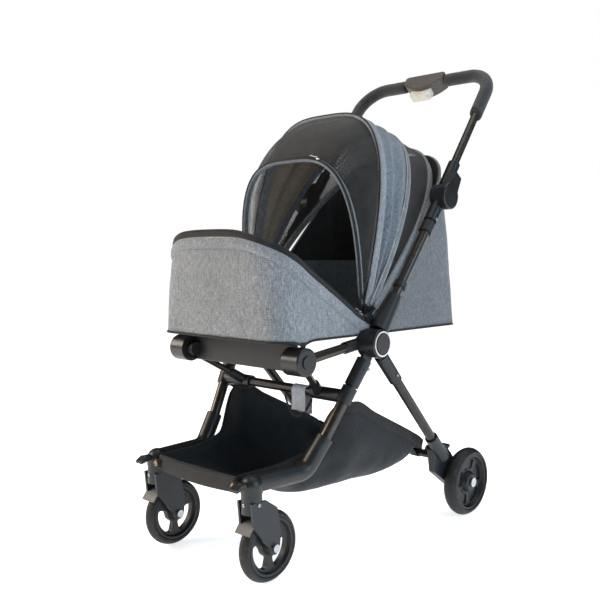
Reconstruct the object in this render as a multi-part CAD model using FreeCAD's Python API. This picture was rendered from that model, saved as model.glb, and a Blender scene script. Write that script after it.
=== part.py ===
"""Pet stroller: a folding two-part frame on four wheels that carries a fabric pet cabin.

Millimetres, +Z up. The origin is on the floor, midway between the two sides and between the
front and the rear wheel axles. The stroller faces -Y, so its own right-hand side is at -X.
Every left-hand piece is at +X and every right-hand piece is its mirror image.
"""

import math
import os

import FreeCAD
import Part

V = FreeCAD.Vector
os.makedirs("parts", exist_ok=True)

# ---- driving dimensions ----------------------------------------------------------------
WHEELBASE = 596.0            # front axle to rear axle
FRONT_WHEEL_R = 70.0
FRONT_WHEEL_W = 26.0
REAR_WHEEL_R = 81.0
REAR_WHEEL_W = 35.0
CASTER_X = 146.0             # swivel axis from the middle plane
CASTER_TRAIL = 42.0          # swivel axis in front of the wheel axle
CASTER_TOP = 183.0           # height of the swivel bearing's face
HUB_Y, HUB_Z = -50.0, 444.0  # main folding axis
BAR_X = 204.0                # push tubes and leg tubes at the hub, from the middle plane
PUSH_ANGLE = 51.6            # push tube above the rear horizontal
PUSH_LENGTH = 403.0          # hub to handle knuckle
HANDLE_ANGLE = 53.6
HANDLE_LENGTH = 399.0        # knuckle to the middle of the cross grip
HANDLE_HALF_WIDTH = 200.0
HANDLE_CORNER_R = 72.0
RAIL_X = 178.0               # seat rails from the middle plane
KNUCKLE_Y, KNUCKLE_Z = -240.0, 421.0
LEG_END = V(166.0, -172.0, 240.0)     # lower end of the front leg's straight run
REAR_TUBE_Y, REAR_TUBE_Z = 225.0, 150.0
CABIN_FLOOR_Z = 460.0
CABIN_HALF_WIDTH = 182.0
CABIN_FRONT_Y = -280.0       # front wall at the floor
CABIN_REAR_Y = 302.0         # rear wall at the floor
CABIN_LEAN = 34.0            # how far the front wall leans out at rim height
PIVOT_Y, PIVOT_Z = -40.0, 494.0       # canopy pivot
RIM_FRONT_Z = 682.0

# ---- sections and fits -----------------------------------------------------------------
PUSH_TUBE_R = 11.0
LEG_TUBE_R = 12.0
REAR_LEG_R = 11.0
RAIL_R = 10.0
STRUT_R = 7.0
CROSS_R = 10.0
REAR_CROSS_R = 9.0
HANDLE_TUBE_R = 9.5
GRIP_R = 16.0
TUBE_WALL = 1.6
SOCKET_WALL = 3.2
HUB_R = 30.0
HUB_BOLT_R = 5.0
AXLE_R = 6.0
FRONT_BOLT_R = 4.0
STEM_R = 7.0
RUN = 0.05                   # radial running clearance of every pin in its hole
GAP = 0.4                    # side clearance between pieces that turn past each other
FABRIC = 5.0                 # cabin wall, fabric with its foam
PANEL = 3.0                  # canopy fabric with its gathers
RIB_T = 4.0                  # canopy rib, flat strip
RIB_W = 9.0
RIB_PITCH = 4.5              # the ribs' eyes are stacked side by side on the pivot pin

X_AXIS = V(1, 0, 0)
Z_AXIS = V(0, 0, 1)
FRONT_AXLE_Y = -WHEELBASE / 2
REAR_AXLE_Y = WHEELBASE / 2
CASTER_Y = FRONT_AXLE_Y - CASTER_TRAIL


# ---- helpers ---------------------------------------------------------------------------
def polar(origin, degrees, distance, x):
    """Point at an angle above +Y, seen from +X, at the given x."""
    a = math.radians(degrees)
    return V(x, origin[0] + distance * math.cos(a), origin[1] + distance * math.sin(a))


def rod(start, end, radius):
    return Part.makeCylinder(radius, (end - start).Length, start, end - start)


def pipe(start, end, radius, wall=TUBE_WALL):
    return rod(start, end, radius).cut(rod(start, end, radius - wall))


def disc(x0, x1, y, z, radius):
    """Cylinder along X."""
    return Part.makeCylinder(radius, x1 - x0, V(x0, y, z), X_AXIS)


def slab(points, x0, x1):
    """Prism along X from (y, z) points."""
    loop = [V(x0, y, z) for y, z in points]
    return Part.Face(Part.makePolygon(loop + loop[:1])).extrude(V(x1 - x0, 0, 0))


def box(x0, x1, y0, y1, z0, z1):
    return Part.makeBox(x1 - x0, y1 - y0, z1 - z0, V(x0, y0, z0))


def spun(points, y, z):
    """Ring about the X-axis line through (y, z), from (x, r) points."""
    loop = [V(x, y, z + r) for x, r in points]
    return Part.Face(Part.makePolygon(loop + loop[:1])).revolve(V(0, y, z), X_AXIS, 360)


def mirrored(shape):
    return shape.mirror(V(0, 0, 0), X_AXIS)


def along(start, end, distance):
    return start + (end - start).normalize() * distance


def rounded(shape, radius, wanted):
    edges = [e for e in shape.Edges if wanted(e)]
    return shape.makeFillet(radius, edges) if edges else shape


def parallel_to(direction):
    def test(edge):
        return (edge.Curve.TypeId == "Part::GeomLine"
                and abs(abs(edge.tangentAt(edge.FirstParameter).dot(direction)) - 1) < 1e-6)
    return test


def bent(points, corner_r, radius):
    """Rod swept along straight runs that are joined by tangent arcs."""
    edges = []
    here = points[0]
    for before, corner, after in zip(points, points[1:], points[2:]):
        u = (before - corner).normalize()
        w = (after - corner).normalize()
        half = u.getAngle(w) / 2
        reach = corner_r / math.tan(half)
        a = corner + u * reach
        b = corner + w * reach
        middle = corner + (u + w).normalize() * (corner_r / math.sin(half) - corner_r)
        edges += [Part.LineSegment(here, a).toShape(), Part.Arc(a, middle, b).toShape()]
        here = b
    edges.append(Part.LineSegment(here, points[-1]).toShape())
    path = Part.Wire(edges)
    ring = Part.Wire(Part.makeCircle(radius, points[0], points[1] - points[0]))
    return path.makePipeShell([ring], True, True)


def save(name, *solids):
    shape = solids[0] if len(solids) == 1 else Part.makeCompound(list(solids))
    found = [s for s in shape.Solids]
    for solid in found:
        if not solid.isValid() or solid.Volume <= 0:
            raise ValueError(name + " has a bad solid")
    shape = found[0] if len(found) == 1 else Part.makeCompound(found)
    shape.exportStep("parts/" + name + ".step")
    print(f"{name:24s} solids {len(found)}  volume {shape.Volume / 1000:9.1f} cm3")


def save_pair(name, shape):
    """The same piece on both sides, as two nodes."""
    save(name + "_left", shape)
    save(name + "_right", mirrored(shape))


def save_both(name, *shapes):
    """The same piece on both sides, kept as one node of separate solids."""
    save(name, *shapes, *[mirrored(s) for s in shapes])


# ---- hub: layers along X, from the seat rail outwards ------------------------------------
HUB = (HUB_Y, HUB_Z)
LAYER_CORE = (184.8, 188.0)
LAYER_PUSH = (LAYER_CORE[1] + GAP, 196.0)
LAYER_LEG = (LAYER_PUSH[1] + GAP, 203.8)
LAYER_REAR = (LAYER_LEG[1] + GAP, 212.0)
LAYER_CAP = (LAYER_REAR[1] + GAP, 229.0)
SOCKET_START = HUB_R + 1.0   # sockets begin outside the round tangs
LEG_BEGIN = HUB_R + 10.0     # the two leg sockets begin further out, to pass each other
RAIL_START = V(RAIL_X, HUB_Y, HUB_Z)
RAIL_END = V(RAIL_X, KNUCKLE_Y, KNUCKLE_Z)
LEG_START = V(BAR_X, HUB_Y, HUB_Z)
REAR_ANGLE = math.degrees(math.atan2(REAR_TUBE_Z - HUB_Z, REAR_TUBE_Y - HUB_Y))
REAR_LEG_LENGTH = math.hypot(REAR_TUBE_Y - HUB_Y, REAR_TUBE_Z - HUB_Z)
hub_hole = disc(150, 240, HUB_Y, HUB_Z, HUB_BOLT_R + RUN)
hub_clear = disc(150, 240, HUB_Y, HUB_Z, SOCKET_START)


def tang_and_socket(layer, end, tube_r, length, start, begin, flare):
    """Round tang in its own layer, carried into a socket that holds a tube from the hub to end."""
    tang = disc(layer[0], layer[1], HUB_Y, HUB_Z, HUB_R)
    outer_r = tube_r + SOCKET_WALL
    sleeve = Part.makeCone(outer_r + flare, outer_r, length - begin, along(start, end, begin), end - start)
    sleeve = sleeve.cut(hub_clear)
    neck_end = along(start, end, begin + 10)
    side = V(0, -(end - start).z, (end - start).y).normalize() * (outer_r - 1)
    corners = [V(0, HUB_Y, HUB_Z) + side, V(0, neck_end.y, neck_end.z) + side,
               V(0, neck_end.y, neck_end.z) - side, V(0, HUB_Y, HUB_Z) - side]
    neck = slab([(c.y, c.z) for c in corners], layer[0], layer[1])
    bore = rod(along(start, end, SOCKET_START + 12), along(start, end, length + 1), tube_r)
    return tang.fuse([neck, sleeve]).removeSplitter().cut(bore).cut(hub_hole)


def build_hub():
    core = disc(165.0, LAYER_CORE[1], HUB_Y, HUB_Z, 12.0)
    core = core.fuse([disc(*LAYER_CORE, HUB_Y, HUB_Z, HUB_R),
                      rod(RAIL_START, along(RAIL_START, RAIL_END, 62), RAIL_R + 2.4)])
    core = core.cut(rod(along(RAIL_START, RAIL_END, 20), along(RAIL_START, RAIL_END, 63), RAIL_R))
    core = core.cut(box(LAYER_CORE[1], LAYER_CORE[1] + 20, HUB_Y - 100, HUB_Y + 40, HUB_Z - 60, HUB_Z + 60))
    save_both("hub_cores", core.cut(hub_hole))
    cap = disc(*LAYER_CAP, HUB_Y, HUB_Z, HUB_R)
    cap = rounded(cap, 3.0, lambda e: e.BoundBox.XMin > LAYER_CAP[1] - 0.1)
    cap = cap.fuse(disc(LAYER_CAP[1], LAYER_CAP[1] + 2.5, HUB_Y, HUB_Z, 21.0))
    bolt_pocket = disc(220.0, 226.2, HUB_Y, HUB_Z, 8.0)
    save_both("hub_caps", cap.cut(disc(150, 226.2, HUB_Y, HUB_Z, HUB_BOLT_R + RUN)).cut(bolt_pocket))
    ring = disc(LAYER_CAP[1], LAYER_CAP[1] + 1.6, HUB_Y, HUB_Z, 26.5)
    save_both("hub_rings", ring.cut(disc(LAYER_CAP[1], 240, HUB_Y, HUB_Z, 23.5)))
    bolt = disc(161.0, 226.0, HUB_Y, HUB_Z, HUB_BOLT_R)
    bolt = bolt.fuse([disc(161.0, 165.0, HUB_Y, HUB_Z, 8.5), disc(220.2, 226.0, HUB_Y, HUB_Z, 7.5)])
    save_both("hub_bolts", bolt)


# ---- front frame -------------------------------------------------------------------------
CLAMP_AT = 0.52              # the crossbar's place along the front leg
CLAMP = LEG_START + (LEG_END - LEG_START) * CLAMP_AT
BAR_LEFT = V(CLAMP.x - LEG_TUBE_R - 3, CLAMP.y, CLAMP.z)
STRUT_START = V(112.0, CLAMP.y, CLAMP.z)
STRUT_END = V(174.0, KNUCKLE_Y, KNUCKLE_Z)
LEG_SOCKET_LENGTH = 100.0
SHELL_R = 17.5
SWIVEL_R = 21.0
SWIVEL_DOME = 13.0           # centre of the swivel housing's dome above its face
KNUCKLE_R = 28.0
KNUCKLE_X = (150.0, 195.0)
BOARD_PIN_R = 6.0
LEVER_Y = CASTER_Y - 26.0
LEVER_Z = CASTER_TOP + 18.0
LEVER_PIN_R = 2.5


def build_front_frame():
    leg_rod = rod(along(LEG_START, LEG_END, SOCKET_START + 12), along(LEG_START, LEG_END, 300), LEG_TUBE_R)
    leg_length = (LEG_END - LEG_START).Length + 12
    leg = pipe(along(LEG_START, LEG_END, SOCKET_START + 12), along(LEG_START, LEG_END, leg_length), LEG_TUBE_R)
    save_pair("front_leg", leg)
    socket = tang_and_socket(LAYER_LEG, LEG_END, LEG_TUBE_R, LEG_SOCKET_LENGTH, LEG_START, LEG_BEGIN, 0.5)
    save_both("leg_sockets", socket.cut(disc(150, LAYER_PUSH[1] + GAP, HUB_Y, HUB_Z, SOCKET_START)))

    bar_rod = rod(V(-BAR_LEFT.x, BAR_LEFT.y, BAR_LEFT.z), BAR_LEFT, CROSS_R)
    save("front_crossbar", pipe(V(-BAR_LEFT.x, BAR_LEFT.y, BAR_LEFT.z), BAR_LEFT, CROSS_R))
    strut_rod = rod(along(STRUT_START, STRUT_END, CROSS_R + 8), STRUT_END, STRUT_R)
    clamp = rod(along(LEG_START, LEG_END, 104), along(LEG_START, LEG_END, 140), LEG_TUBE_R + 4)
    clamp = clamp.fuse([rod(V(94, CLAMP.y, CLAMP.z), V(CLAMP.x, CLAMP.y, CLAMP.z), CROSS_R + 4),
                        rod(STRUT_START, along(STRUT_START, STRUT_END, 46), STRUT_R + 4)])
    save_both("leg_clamps", clamp.cut(leg_rod).cut(bar_rod).cut(strut_rod))

    knuckle = disc(*KNUCKLE_X, KNUCKLE_Y, KNUCKLE_Z, KNUCKLE_R)
    knuckle = rounded(knuckle, 4.0, lambda e: e.BoundBox.XMin > KNUCKLE_X[1] - 0.1)
    knuckle = knuckle.fuse(disc(KNUCKLE_X[1], KNUCKLE_X[1] + 2.5, KNUCKLE_Y, KNUCKLE_Z, 13.0))
    pin_hole = disc(KNUCKLE_X[0], KNUCKLE_X[0] + 11, KNUCKLE_Y, KNUCKLE_Z, BOARD_PIN_R + RUN)
    save_both("front_knuckles", knuckle.cut(pin_hole))
    solid_knuckle = disc(*KNUCKLE_X, KNUCKLE_Y, KNUCKLE_Z, KNUCKLE_R)
    save_both("seat_struts", strut_rod.cut(solid_knuckle))
    save_both("seat_rails", pipe(along(RAIL_START, RAIL_END, 20), RAIL_END, RAIL_R).cut(solid_knuckle))

    corner = V(158.0, -206.0, CASTER_TOP + 14)
    front = V(CASTER_X, CASTER_Y + 12, CASTER_TOP + 15)
    shell = bent([along(LEG_END, LEG_START, 22), corner, front], 34, SHELL_R)
    swivel = Part.makeCylinder(SWIVEL_R, SWIVEL_DOME, V(CASTER_X, CASTER_Y, CASTER_TOP))
    dome = Part.makeSphere(SWIVEL_R, V(CASTER_X, CASTER_Y, CASTER_TOP + SWIVEL_DOME))
    below = Part.makeBox(120, 120, 40, V(CASTER_X - 60, CASTER_Y - 60, CASTER_TOP - 40))
    ear = box(CASTER_X - 5, CASTER_X + 5, LEVER_Y, CASTER_Y - 14, LEVER_Z - 6, LEVER_Z + 6)
    ear = ear.fuse(disc(CASTER_X - 5, CASTER_X + 5, LEVER_Y, LEVER_Z, 6))
    stem_hole = Part.makeCylinder(STEM_R + RUN, 23, V(CASTER_X, CASTER_Y, CASTER_TOP - 1))
    lever_hole = disc(CASTER_X - 10, CASTER_X + 10, LEVER_Y, LEVER_Z, LEVER_PIN_R + RUN)
    leg_tail = rod(LEG_START, along(LEG_START, LEG_END, leg_length), LEG_TUBE_R)
    shell = shell.fuse([swivel, dome, ear]).cut(below).cut(leg_tail).cut(stem_hole).cut(lever_hole)
    save_pair("caster_arm", shell)



def build_swivel_levers():
    ears = [disc(x, x + 5, LEVER_Y, LEVER_Z, 4.5) for x in (CASTER_X - 10.6, CASTER_X + 5.6)]
    tread = slab([(LEVER_Y - 20, LEVER_Z - 8), (LEVER_Y - 20, LEVER_Z - 3), (LEVER_Y - 7, LEVER_Z + 5),
                  (LEVER_Y - 2, LEVER_Z + 4), (LEVER_Y - 2, LEVER_Z - 4), (LEVER_Y - 7, LEVER_Z - 5)],
                 CASTER_X - 10.6, CASTER_X + 10.6)
    tread = tread.cut(box(CASTER_X - 5.6, CASTER_X + 5.6, LEVER_Y - 6.8, LEVER_Y, LEVER_Z - 9, LEVER_Z + 9))
    pin = disc(CASTER_X - 8, CASTER_X + 8, LEVER_Y, LEVER_Z, LEVER_PIN_R)
    save_pair("swivel_lever", tread.fuse(ears + [pin]))


def build_board():
    plate = slab([(KNUCKLE_Y + 10, KNUCKLE_Z - 25), (KNUCKLE_Y + 22, KNUCKLE_Z - 25),
                  (KNUCKLE_Y + 28, KNUCKLE_Z), (KNUCKLE_Y + 22, KNUCKLE_Z + 31),
                  (KNUCKLE_Y + 10, KNUCKLE_Z + 31)], -148.0, 148.0)
    plate = rounded(plate, 3.5, parallel_to(X_AXIS))
    bosses = [disc(x, x + 14, KNUCKLE_Y, KNUCKLE_Z, 15) for x in (-148.0, 134.0)]
    pins = [disc(x, x + 10, KNUCKLE_Y, KNUCKLE_Z, BOARD_PIN_R) for x in (-158.0, 148.0)]
    save("leg_rest_board", plate.fuse(bosses + pins))


# ---- casters and wheels --------------------------------------------------------------------
CHEEK = 5.0
CHEEK_GAP = 2.0
HOLE_INNER_R = 21.0          # kidney openings of the front wheel
HOLE_OUTER_R = 45.0
HOLE_HALF_ANGLE = 46.0


def build_fork():
    y, z = FRONT_AXLE_Y, FRONT_WHEEL_R
    inner = FRONT_WHEEL_W / 2 + CHEEK_GAP
    crown_z = FRONT_WHEEL_R * 2 + 4
    crown = Part.makeCylinder(inner + CHEEK, CASTER_TOP - GAP - crown_z, V(CASTER_X, CASTER_Y, crown_z))
    stem = Part.makeCylinder(STEM_R, 20, V(CASTER_X, CASTER_Y, CASTER_TOP - GAP))
    outline = [(CASTER_Y - 19, crown_z + 24), (CASTER_Y + 19, crown_z + 24), (y + 6, crown_z + 4),
               (y + 16, z + 30), (y + 13, z), (y - 13, z), (CASTER_Y - 14, z + 52)]
    guard = disc(CASTER_X - inner - CHEEK, CASTER_X + inner + CHEEK, y, z, FRONT_WHEEL_R + 7.5)
    guard = guard.cut(disc(0, 300, y, z, FRONT_WHEEL_R + 4))
    guard = guard.common(slab([(y, z + 4), (y - 120, z + 66), (y - 60, z + 140), (y + 8, z + 140)], 0, 300))
    pieces = [stem, guard]
    for x in (CASTER_X - inner - CHEEK, CASTER_X + inner):
        pieces += [slab(outline, x, x + CHEEK), disc(x, x + CHEEK, y, z, 13)]
    fork = crown.fuse(pieces).removeSplitter()
    bolt_hole = disc(CASTER_X - 40, CASTER_X + 40, y, z, FRONT_BOLT_R + RUN)
    save_pair("caster_fork", fork.cut(bolt_hole))
    end = inner + CHEEK
    bolt = disc(CASTER_X - end - 3, CASTER_X + end + 3, y, z, FRONT_BOLT_R)
    heads = [disc(CASTER_X - end - 5, CASTER_X - end, y, z, 8), disc(CASTER_X + end, CASTER_X + end + 5, y, z, 8)]
    save_pair("front_axle_bolt", bolt.fuse(heads))


def tyre(x, half, y, z, radius, depth):
    """Tyre with a rounded tread, about the X-axis line through (y, z)."""
    inner = radius - depth
    shoulder = radius - half * 0.5
    tread = Part.Arc(V(x - half, y, z + shoulder), V(x, y, z + radius), V(x + half, y, z + shoulder))
    sides = Part.makePolygon([V(x + half, y, z + shoulder), V(x + half, y, z + inner),
                              V(x - half, y, z + inner), V(x - half, y, z + shoulder)])
    face = Part.Face(Part.Wire([tread.toShape()] + sides.Edges))
    return face.revolve(V(0, y, z), X_AXIS, 360)


def sector(x0, x1, y, z, r0, r1, middle, half):
    """Ring piece along X between two radii, centred on an angle."""
    ring = disc(x0, x1, y, z, r1).cut(disc(x0, x1, y, z, r0))
    reach = r1 * 1.6
    a0, a1 = math.radians(middle - half), math.radians(middle + half)
    wedge = slab([(y, z), (y + reach * math.cos(a0), z + reach * math.sin(a0)),
                  (y + reach * math.cos(a1), z + reach * math.sin(a1))], x0, x1)
    return rounded(ring.common(wedge), 6.0, parallel_to(X_AXIS))


def build_front_wheels():
    y, z = FRONT_AXLE_Y, FRONT_WHEEL_R
    half = FRONT_WHEEL_W / 2
    rim_r = FRONT_WHEEL_R - 13
    hub_half = half + 1.4
    profile = [(-hub_half, FRONT_BOLT_R + RUN), (-hub_half, 13), (-6, 17), (-6, rim_r - 8), (-half + 1, rim_r - 5),
               (-half + 1, rim_r), (half - 1, rim_r), (half - 1, rim_r - 5), (6, rim_r - 8), (6, 17),
               (hub_half, 13), (hub_half, FRONT_BOLT_R + RUN)]
    rim = spun([(CASTER_X + x, r) for x, r in profile], y, z)
    for turn in (90, 210, 330):
        rim = rim.cut(sector(CASTER_X - 20, CASTER_X + 20, y, z, HOLE_INNER_R, HOLE_OUTER_R, turn, HOLE_HALF_ANGLE))
    save_pair("front_rim", rim)
    save_pair("front_tyre", tyre(CASTER_X, half, y, z, FRONT_WHEEL_R, 13))


REAR_WHEEL_X = 223.0
HOUSING_X = (187.0, REAR_WHEEL_X - REAR_WHEEL_W / 2 - 1.5)


def build_rear_wheels():
    y, z = REAR_AXLE_Y, REAR_WHEEL_R
    half = REAR_WHEEL_W / 2
    rim_r = REAR_WHEEL_R - 15
    hole = AXLE_R + RUN
    profile = [(-half, hole), (-half, 20), (-5, 24), (-5, rim_r - 9), (-half + 2, rim_r - 5), (-half + 2, rim_r),
               (half - 2, rim_r), (half - 2, rim_r - 5), (6, rim_r - 9), (4, 26), (half - 3, 21), (half - 1, 17),
               (half - 1, hole)]
    rim = spun([(REAR_WHEEL_X + x, r) for x, r in profile], y, z)
    for turn in range(0, 360, 72):
        pocket = sector(REAR_WHEEL_X + 2, REAR_WHEEL_X + 8, y, z, 30, rim_r - 12, turn + 90, 27)
        rim = rim.cut(pocket)
    save_pair("rear_rim", rim)
    save_pair("rear_tyre", tyre(REAR_WHEEL_X, half, y, z, REAR_WHEEL_R, 15))


# ---- rear legs -------------------------------------------------------------------------
REAR_SOCKET_LENGTH = 118.0
BRAKE_Y, BRAKE_Z = 244.0, 148.0
BRAKE_R = 5.0


def build_rear_frame():
    start = V(BAR_X, HUB_Y, HUB_Z)
    end = polar(HUB, REAR_ANGLE, REAR_LEG_LENGTH, BAR_X)
    leg_end = along(start, end, REAR_LEG_LENGTH - 12)
    leg_start = along(start, end, SOCKET_START + 12)
    save_pair("rear_leg", pipe(leg_start, leg_end, REAR_LEG_R))
    socket = tang_and_socket(LAYER_REAR, end, REAR_LEG_R, REAR_SOCKET_LENGTH, start, LEG_BEGIN, 0.5)
    save_both("rear_sockets", socket)

    y, z = REAR_TUBE_Y, REAR_TUBE_Z
    ay, az = REAR_AXLE_Y, REAR_WHEEL_R
    plate = slab([(y - 46, z + 34), (y + 6, z + 30), (y + 30, z + 8), (ay + 8, az + 18), (ay + 8, az - 16),
                  (ay - 24, az - 18), (y - 34, z - 30)], *HOUSING_X)
    plate = rounded(plate, 9.0, parallel_to(X_AXIS))
    sleeve = rod(along(start, end, REAR_LEG_LENGTH - 78), along(start, end, REAR_LEG_LENGTH - 2), REAR_LEG_R + 4)
    nose = disc(*HOUSING_X, ay, az, 19)
    housing = plate.fuse([sleeve, nose])
    housing = housing.cut(rod(leg_start, leg_end, REAR_LEG_R))
    housing = housing.cut(disc(150, 200, y, z, REAR_CROSS_R))
    housing = housing.cut(disc(150, 192, BRAKE_Y, BRAKE_Z, BRAKE_R + RUN))
    housing = housing.cut(disc(150, 260, ay, az, AXLE_R))
    save_pair("rear_housing", housing)

    bar_end = V(200, y, z)
    tube_clear = rod(leg_start, leg_end, REAR_LEG_R)
    cross = pipe(V(-200, y, z), bar_end, REAR_CROSS_R).cut(tube_clear).cut(mirrored(tube_clear))
    save("rear_cross_tube", cross)
    axle = disc(HOUSING_X[0] + 1, REAR_WHEEL_X + REAR_WHEEL_W / 2 + 1, ay, az, AXLE_R)
    nut_x = REAR_WHEEL_X + REAR_WHEEL_W / 2
    save_both("rear_axles", axle.fuse(disc(nut_x, nut_x + 4, ay, az, 11)))

    bar = disc(-191.5, 191.5, BRAKE_Y, BRAKE_Z, BRAKE_R)
    tread = slab([(BRAKE_Y - 2, BRAKE_Z + 4), (BRAKE_Y + 4, BRAKE_Z + 14), (BRAKE_Y + 40, BRAKE_Z + 20),
                  (BRAKE_Y + 42, BRAKE_Z + 14), (BRAKE_Y + 8, BRAKE_Z - 3), (BRAKE_Y, BRAKE_Z - 3)], 138, 184)
    tread = rounded(tread, 1.4, parallel_to(X_AXIS))
    save("brake_bar", bar.fuse([tread, mirrored(tread)]))


# ---- push frame and handle -------------------------------------------------------------
KNUCKLE = polar(HUB, PUSH_ANGLE, PUSH_LENGTH, 0)
HK = (KNUCKLE.y, KNUCKLE.z)
PUSH_BOOT_LENGTH = 122.0
LOWER_X = (190.0, 211.6)
UPPER_X = (LOWER_X[1] + GAP, 231.0)
HANDLE_SOCKET = 98.0
GRIP_FROM = 252.0            # foam starts this far up the handle
HOUSING_HALF = 60.0


def handle_point(x, distance):
    return polar(HK, HANDLE_ANGLE, distance, x)


def build_push_frame():
    start = V(BAR_X, HUB_Y, HUB_Z)
    end = polar(HUB, PUSH_ANGLE, PUSH_LENGTH, BAR_X)
    tube_start = along(start, end, SOCKET_START + 12)
    tube_end = along(start, end, PUSH_LENGTH - 32)
    save_pair("push_tube", pipe(tube_start, tube_end, PUSH_TUBE_R))
    boot = tang_and_socket(LAYER_PUSH, end, PUSH_TUBE_R, PUSH_BOOT_LENGTH, start, SOCKET_START, 6.0)
    inner_side = box(150, LAYER_PUSH[0], HUB_Y - 50, HUB_Y + 150, HUB_Z - 50, HUB_Z + 150)
    save_both("push_boots", boot.cut(inner_side))

    tube_rod = rod(tube_start, tube_end, PUSH_TUBE_R)
    rings = []
    for centre, half, radius in ((150.0, 7.0, 14.0), (311.0, 14.0, 14.5)):
        ring = rod(along(start, end, centre - half), along(start, end, centre + half), radius)
        rings.append(ring.cut(tube_rod))
    save_both("push_collars", *rings)

    lower = disc(*LOWER_X, *HK, 28).fuse(rod(along(start, end, PUSH_LENGTH - 74), along(start, end, PUSH_LENGTH - 20),
                                             PUSH_TUBE_R + 4))
    lower = lower.cut(disc(UPPER_X[0] - GAP, 240, *HK, 40))
    lower = lower.fuse(disc(LOWER_X[0], LOWER_X[1] + 12, *HK, AXLE_R))
    save_both("lower_knuckles", lower.cut(tube_rod))

    sleeve = rod(handle_point(HANDLE_HALF_WIDTH, 33), handle_point(HANDLE_HALF_WIDTH, HANDLE_SOCKET),
                 HANDLE_TUBE_R + 4.5)
    web_ends = [polar(HK, HANDLE_ANGLE + turn, 24, 0) for turn in (90, -90)]
    web_tips = [polar(HK, HANDLE_ANGLE + turn, 62, 0) for turn in (11, -11)]
    web = slab([(p.y, p.z) for p in (web_ends[0], web_tips[0], web_tips[1], web_ends[1])], HANDLE_HALF_WIDTH + 4,
               UPPER_X[1] - 3)
    inside = disc(150, UPPER_X[0], *HK, 32)
    upper = disc(*UPPER_X, *HK, 30)
    upper = rounded(upper, 3.5, lambda e: e.BoundBox.XMin > UPPER_X[1] - 0.1)
    upper = upper.fuse([sleeve, web]).cut(inside)
    upper = upper.cut(disc(150, LOWER_X[1] + 13, *HK, AXLE_R + RUN))
    handle_rod = rod(handle_point(HANDLE_HALF_WIDTH, 44), handle_point(HANDLE_HALF_WIDTH, 300), HANDLE_TUBE_R)
    save_both("upper_knuckles", upper.cut(handle_rod))


def build_handle():
    w, top = HANDLE_HALF_WIDTH, HANDLE_LENGTH
    route = [handle_point(w, 44), handle_point(w, top), handle_point(-w, top), handle_point(-w, 44)]
    solid = bent(route, HANDLE_CORNER_R, HANDLE_TUBE_R)
    save("handle_tube", solid.cut(bent(route, HANDLE_CORNER_R, HANDLE_TUBE_R - TUBE_WALL)))
    grip_route = [handle_point(w, GRIP_FROM), handle_point(w, top), handle_point(HOUSING_HALF + 1, top)]
    grip = bent(grip_route, HANDLE_CORNER_R, GRIP_R)
    save_both("handle_grips", grip.cut(solid))

    up = V(0, math.cos(math.radians(HANDLE_ANGLE)), math.sin(math.radians(HANDLE_ANGLE)))
    across = X_AXIS.cross(up)
    centre = handle_point(0, top)

    def at(x, rise, out):
        return centre + X_AXIS * x + up * rise + across * out

    half, thick = HOUSING_HALF, 18.0
    belly = Part.Arc(at(half, -8, -thick), at(0, -37, -thick), at(-half, -8, -thick)).toShape()
    sides = Part.makePolygon([at(-half, -8, -thick), at(-half, 12, -thick), at(12 - half, 18, -thick),
                              at(half - 12, 18, -thick), at(half, 12, -thick), at(half, -8, -thick)])
    housing = Part.Face(Part.Wire([belly] + sides.Edges)).extrude(across * (2 * thick))
    housing = rounded(housing, 4.0, parallel_to(X_AXIS))

    def block(half_x, low, high, half_out):
        corners = [at(-half_x, low, -half_out), at(half_x, low, -half_out), at(half_x, high, -half_out),
                   at(-half_x, high, -half_out)]
        return Part.Face(Part.makePolygon(corners + corners[:1])).extrude(across * (2 * half_out))

    housing = housing.cut(solid).cut(block(31.0, -60, -14, 10.0))
    save("fold_housing", housing)
    trigger = rounded(block(30.5, -54, -24, 9.5), 9.0, parallel_to(across))
    save("squeeze_trigger", trigger)


# ---- canopy ----------------------------------------------------------------------------
RIBS = {                     # angle above +Y, apex length, half width, squareness, place in the pivot stack
    "rear_rib": (47.7, 540.0, 210.0, 2.26, 0),
    "mid_rib": (60.0, 494.0, 203.0, 2.38, 1),
    "front_rib": (79.6, 454.0, 194.0, 3.44, 2),
    "door_rib": (97.5, 341.0, 178.0, 3.31, 3),
}
PIN_OUT = 182.0              # outer end of the pivot stack
CANOPY_PIN_R = 3.0
EYE_R = 8.0
PANEL_FROM = 62.0            # fabric starts this far from the pivot
PANEL_STEP = 4.6             # degrees left between fabric and rib
RIB_FOOT = 10.0              # each leg is straight this far from the pivot, then bows out
ARCH_POINTS = 26


def arch(foot, length, width, square, start, angle, inset):
    """Points of an arch in a rib's plane: bowed legs that rise from the pivot into a squared top."""
    first = math.asin((start / length) ** (square / 2))
    fine = []
    for i in range(401):
        turn = first + (math.pi - 2 * first) * i / 400
        d = length * math.sin(turn) ** (2 / square)
        x = math.copysign(abs(math.cos(turn)) ** (2 / square), math.cos(turn))
        bow = (width - foot) * (1 - (d - RIB_FOOT) / (length - RIB_FOOT)) ** 2
        fine.append(V(x * (width - bow), d, 0))
    runs = [0.0]
    for p, q in zip(fine, fine[1:]):
        runs.append(runs[-1] + (q - p).Length)
    points = []
    for i in range(ARCH_POINTS + 1):
        wanted = runs[-1] * i / ARCH_POINTS
        k = min(max(j for j, run in enumerate(runs) if run <= wanted + 1e-9), 399)
        t = (wanted - runs[k]) / (runs[k + 1] - runs[k])
        along_it = fine[k + 1] - fine[k]
        inward = V(-along_it.y, along_it.x, 0).normalize()
        p = fine[k] + along_it * t + inward * inset
        points.append(polar((PIVOT_Y, PIVOT_Z), angle, p.y, p.x))
    return points


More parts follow.
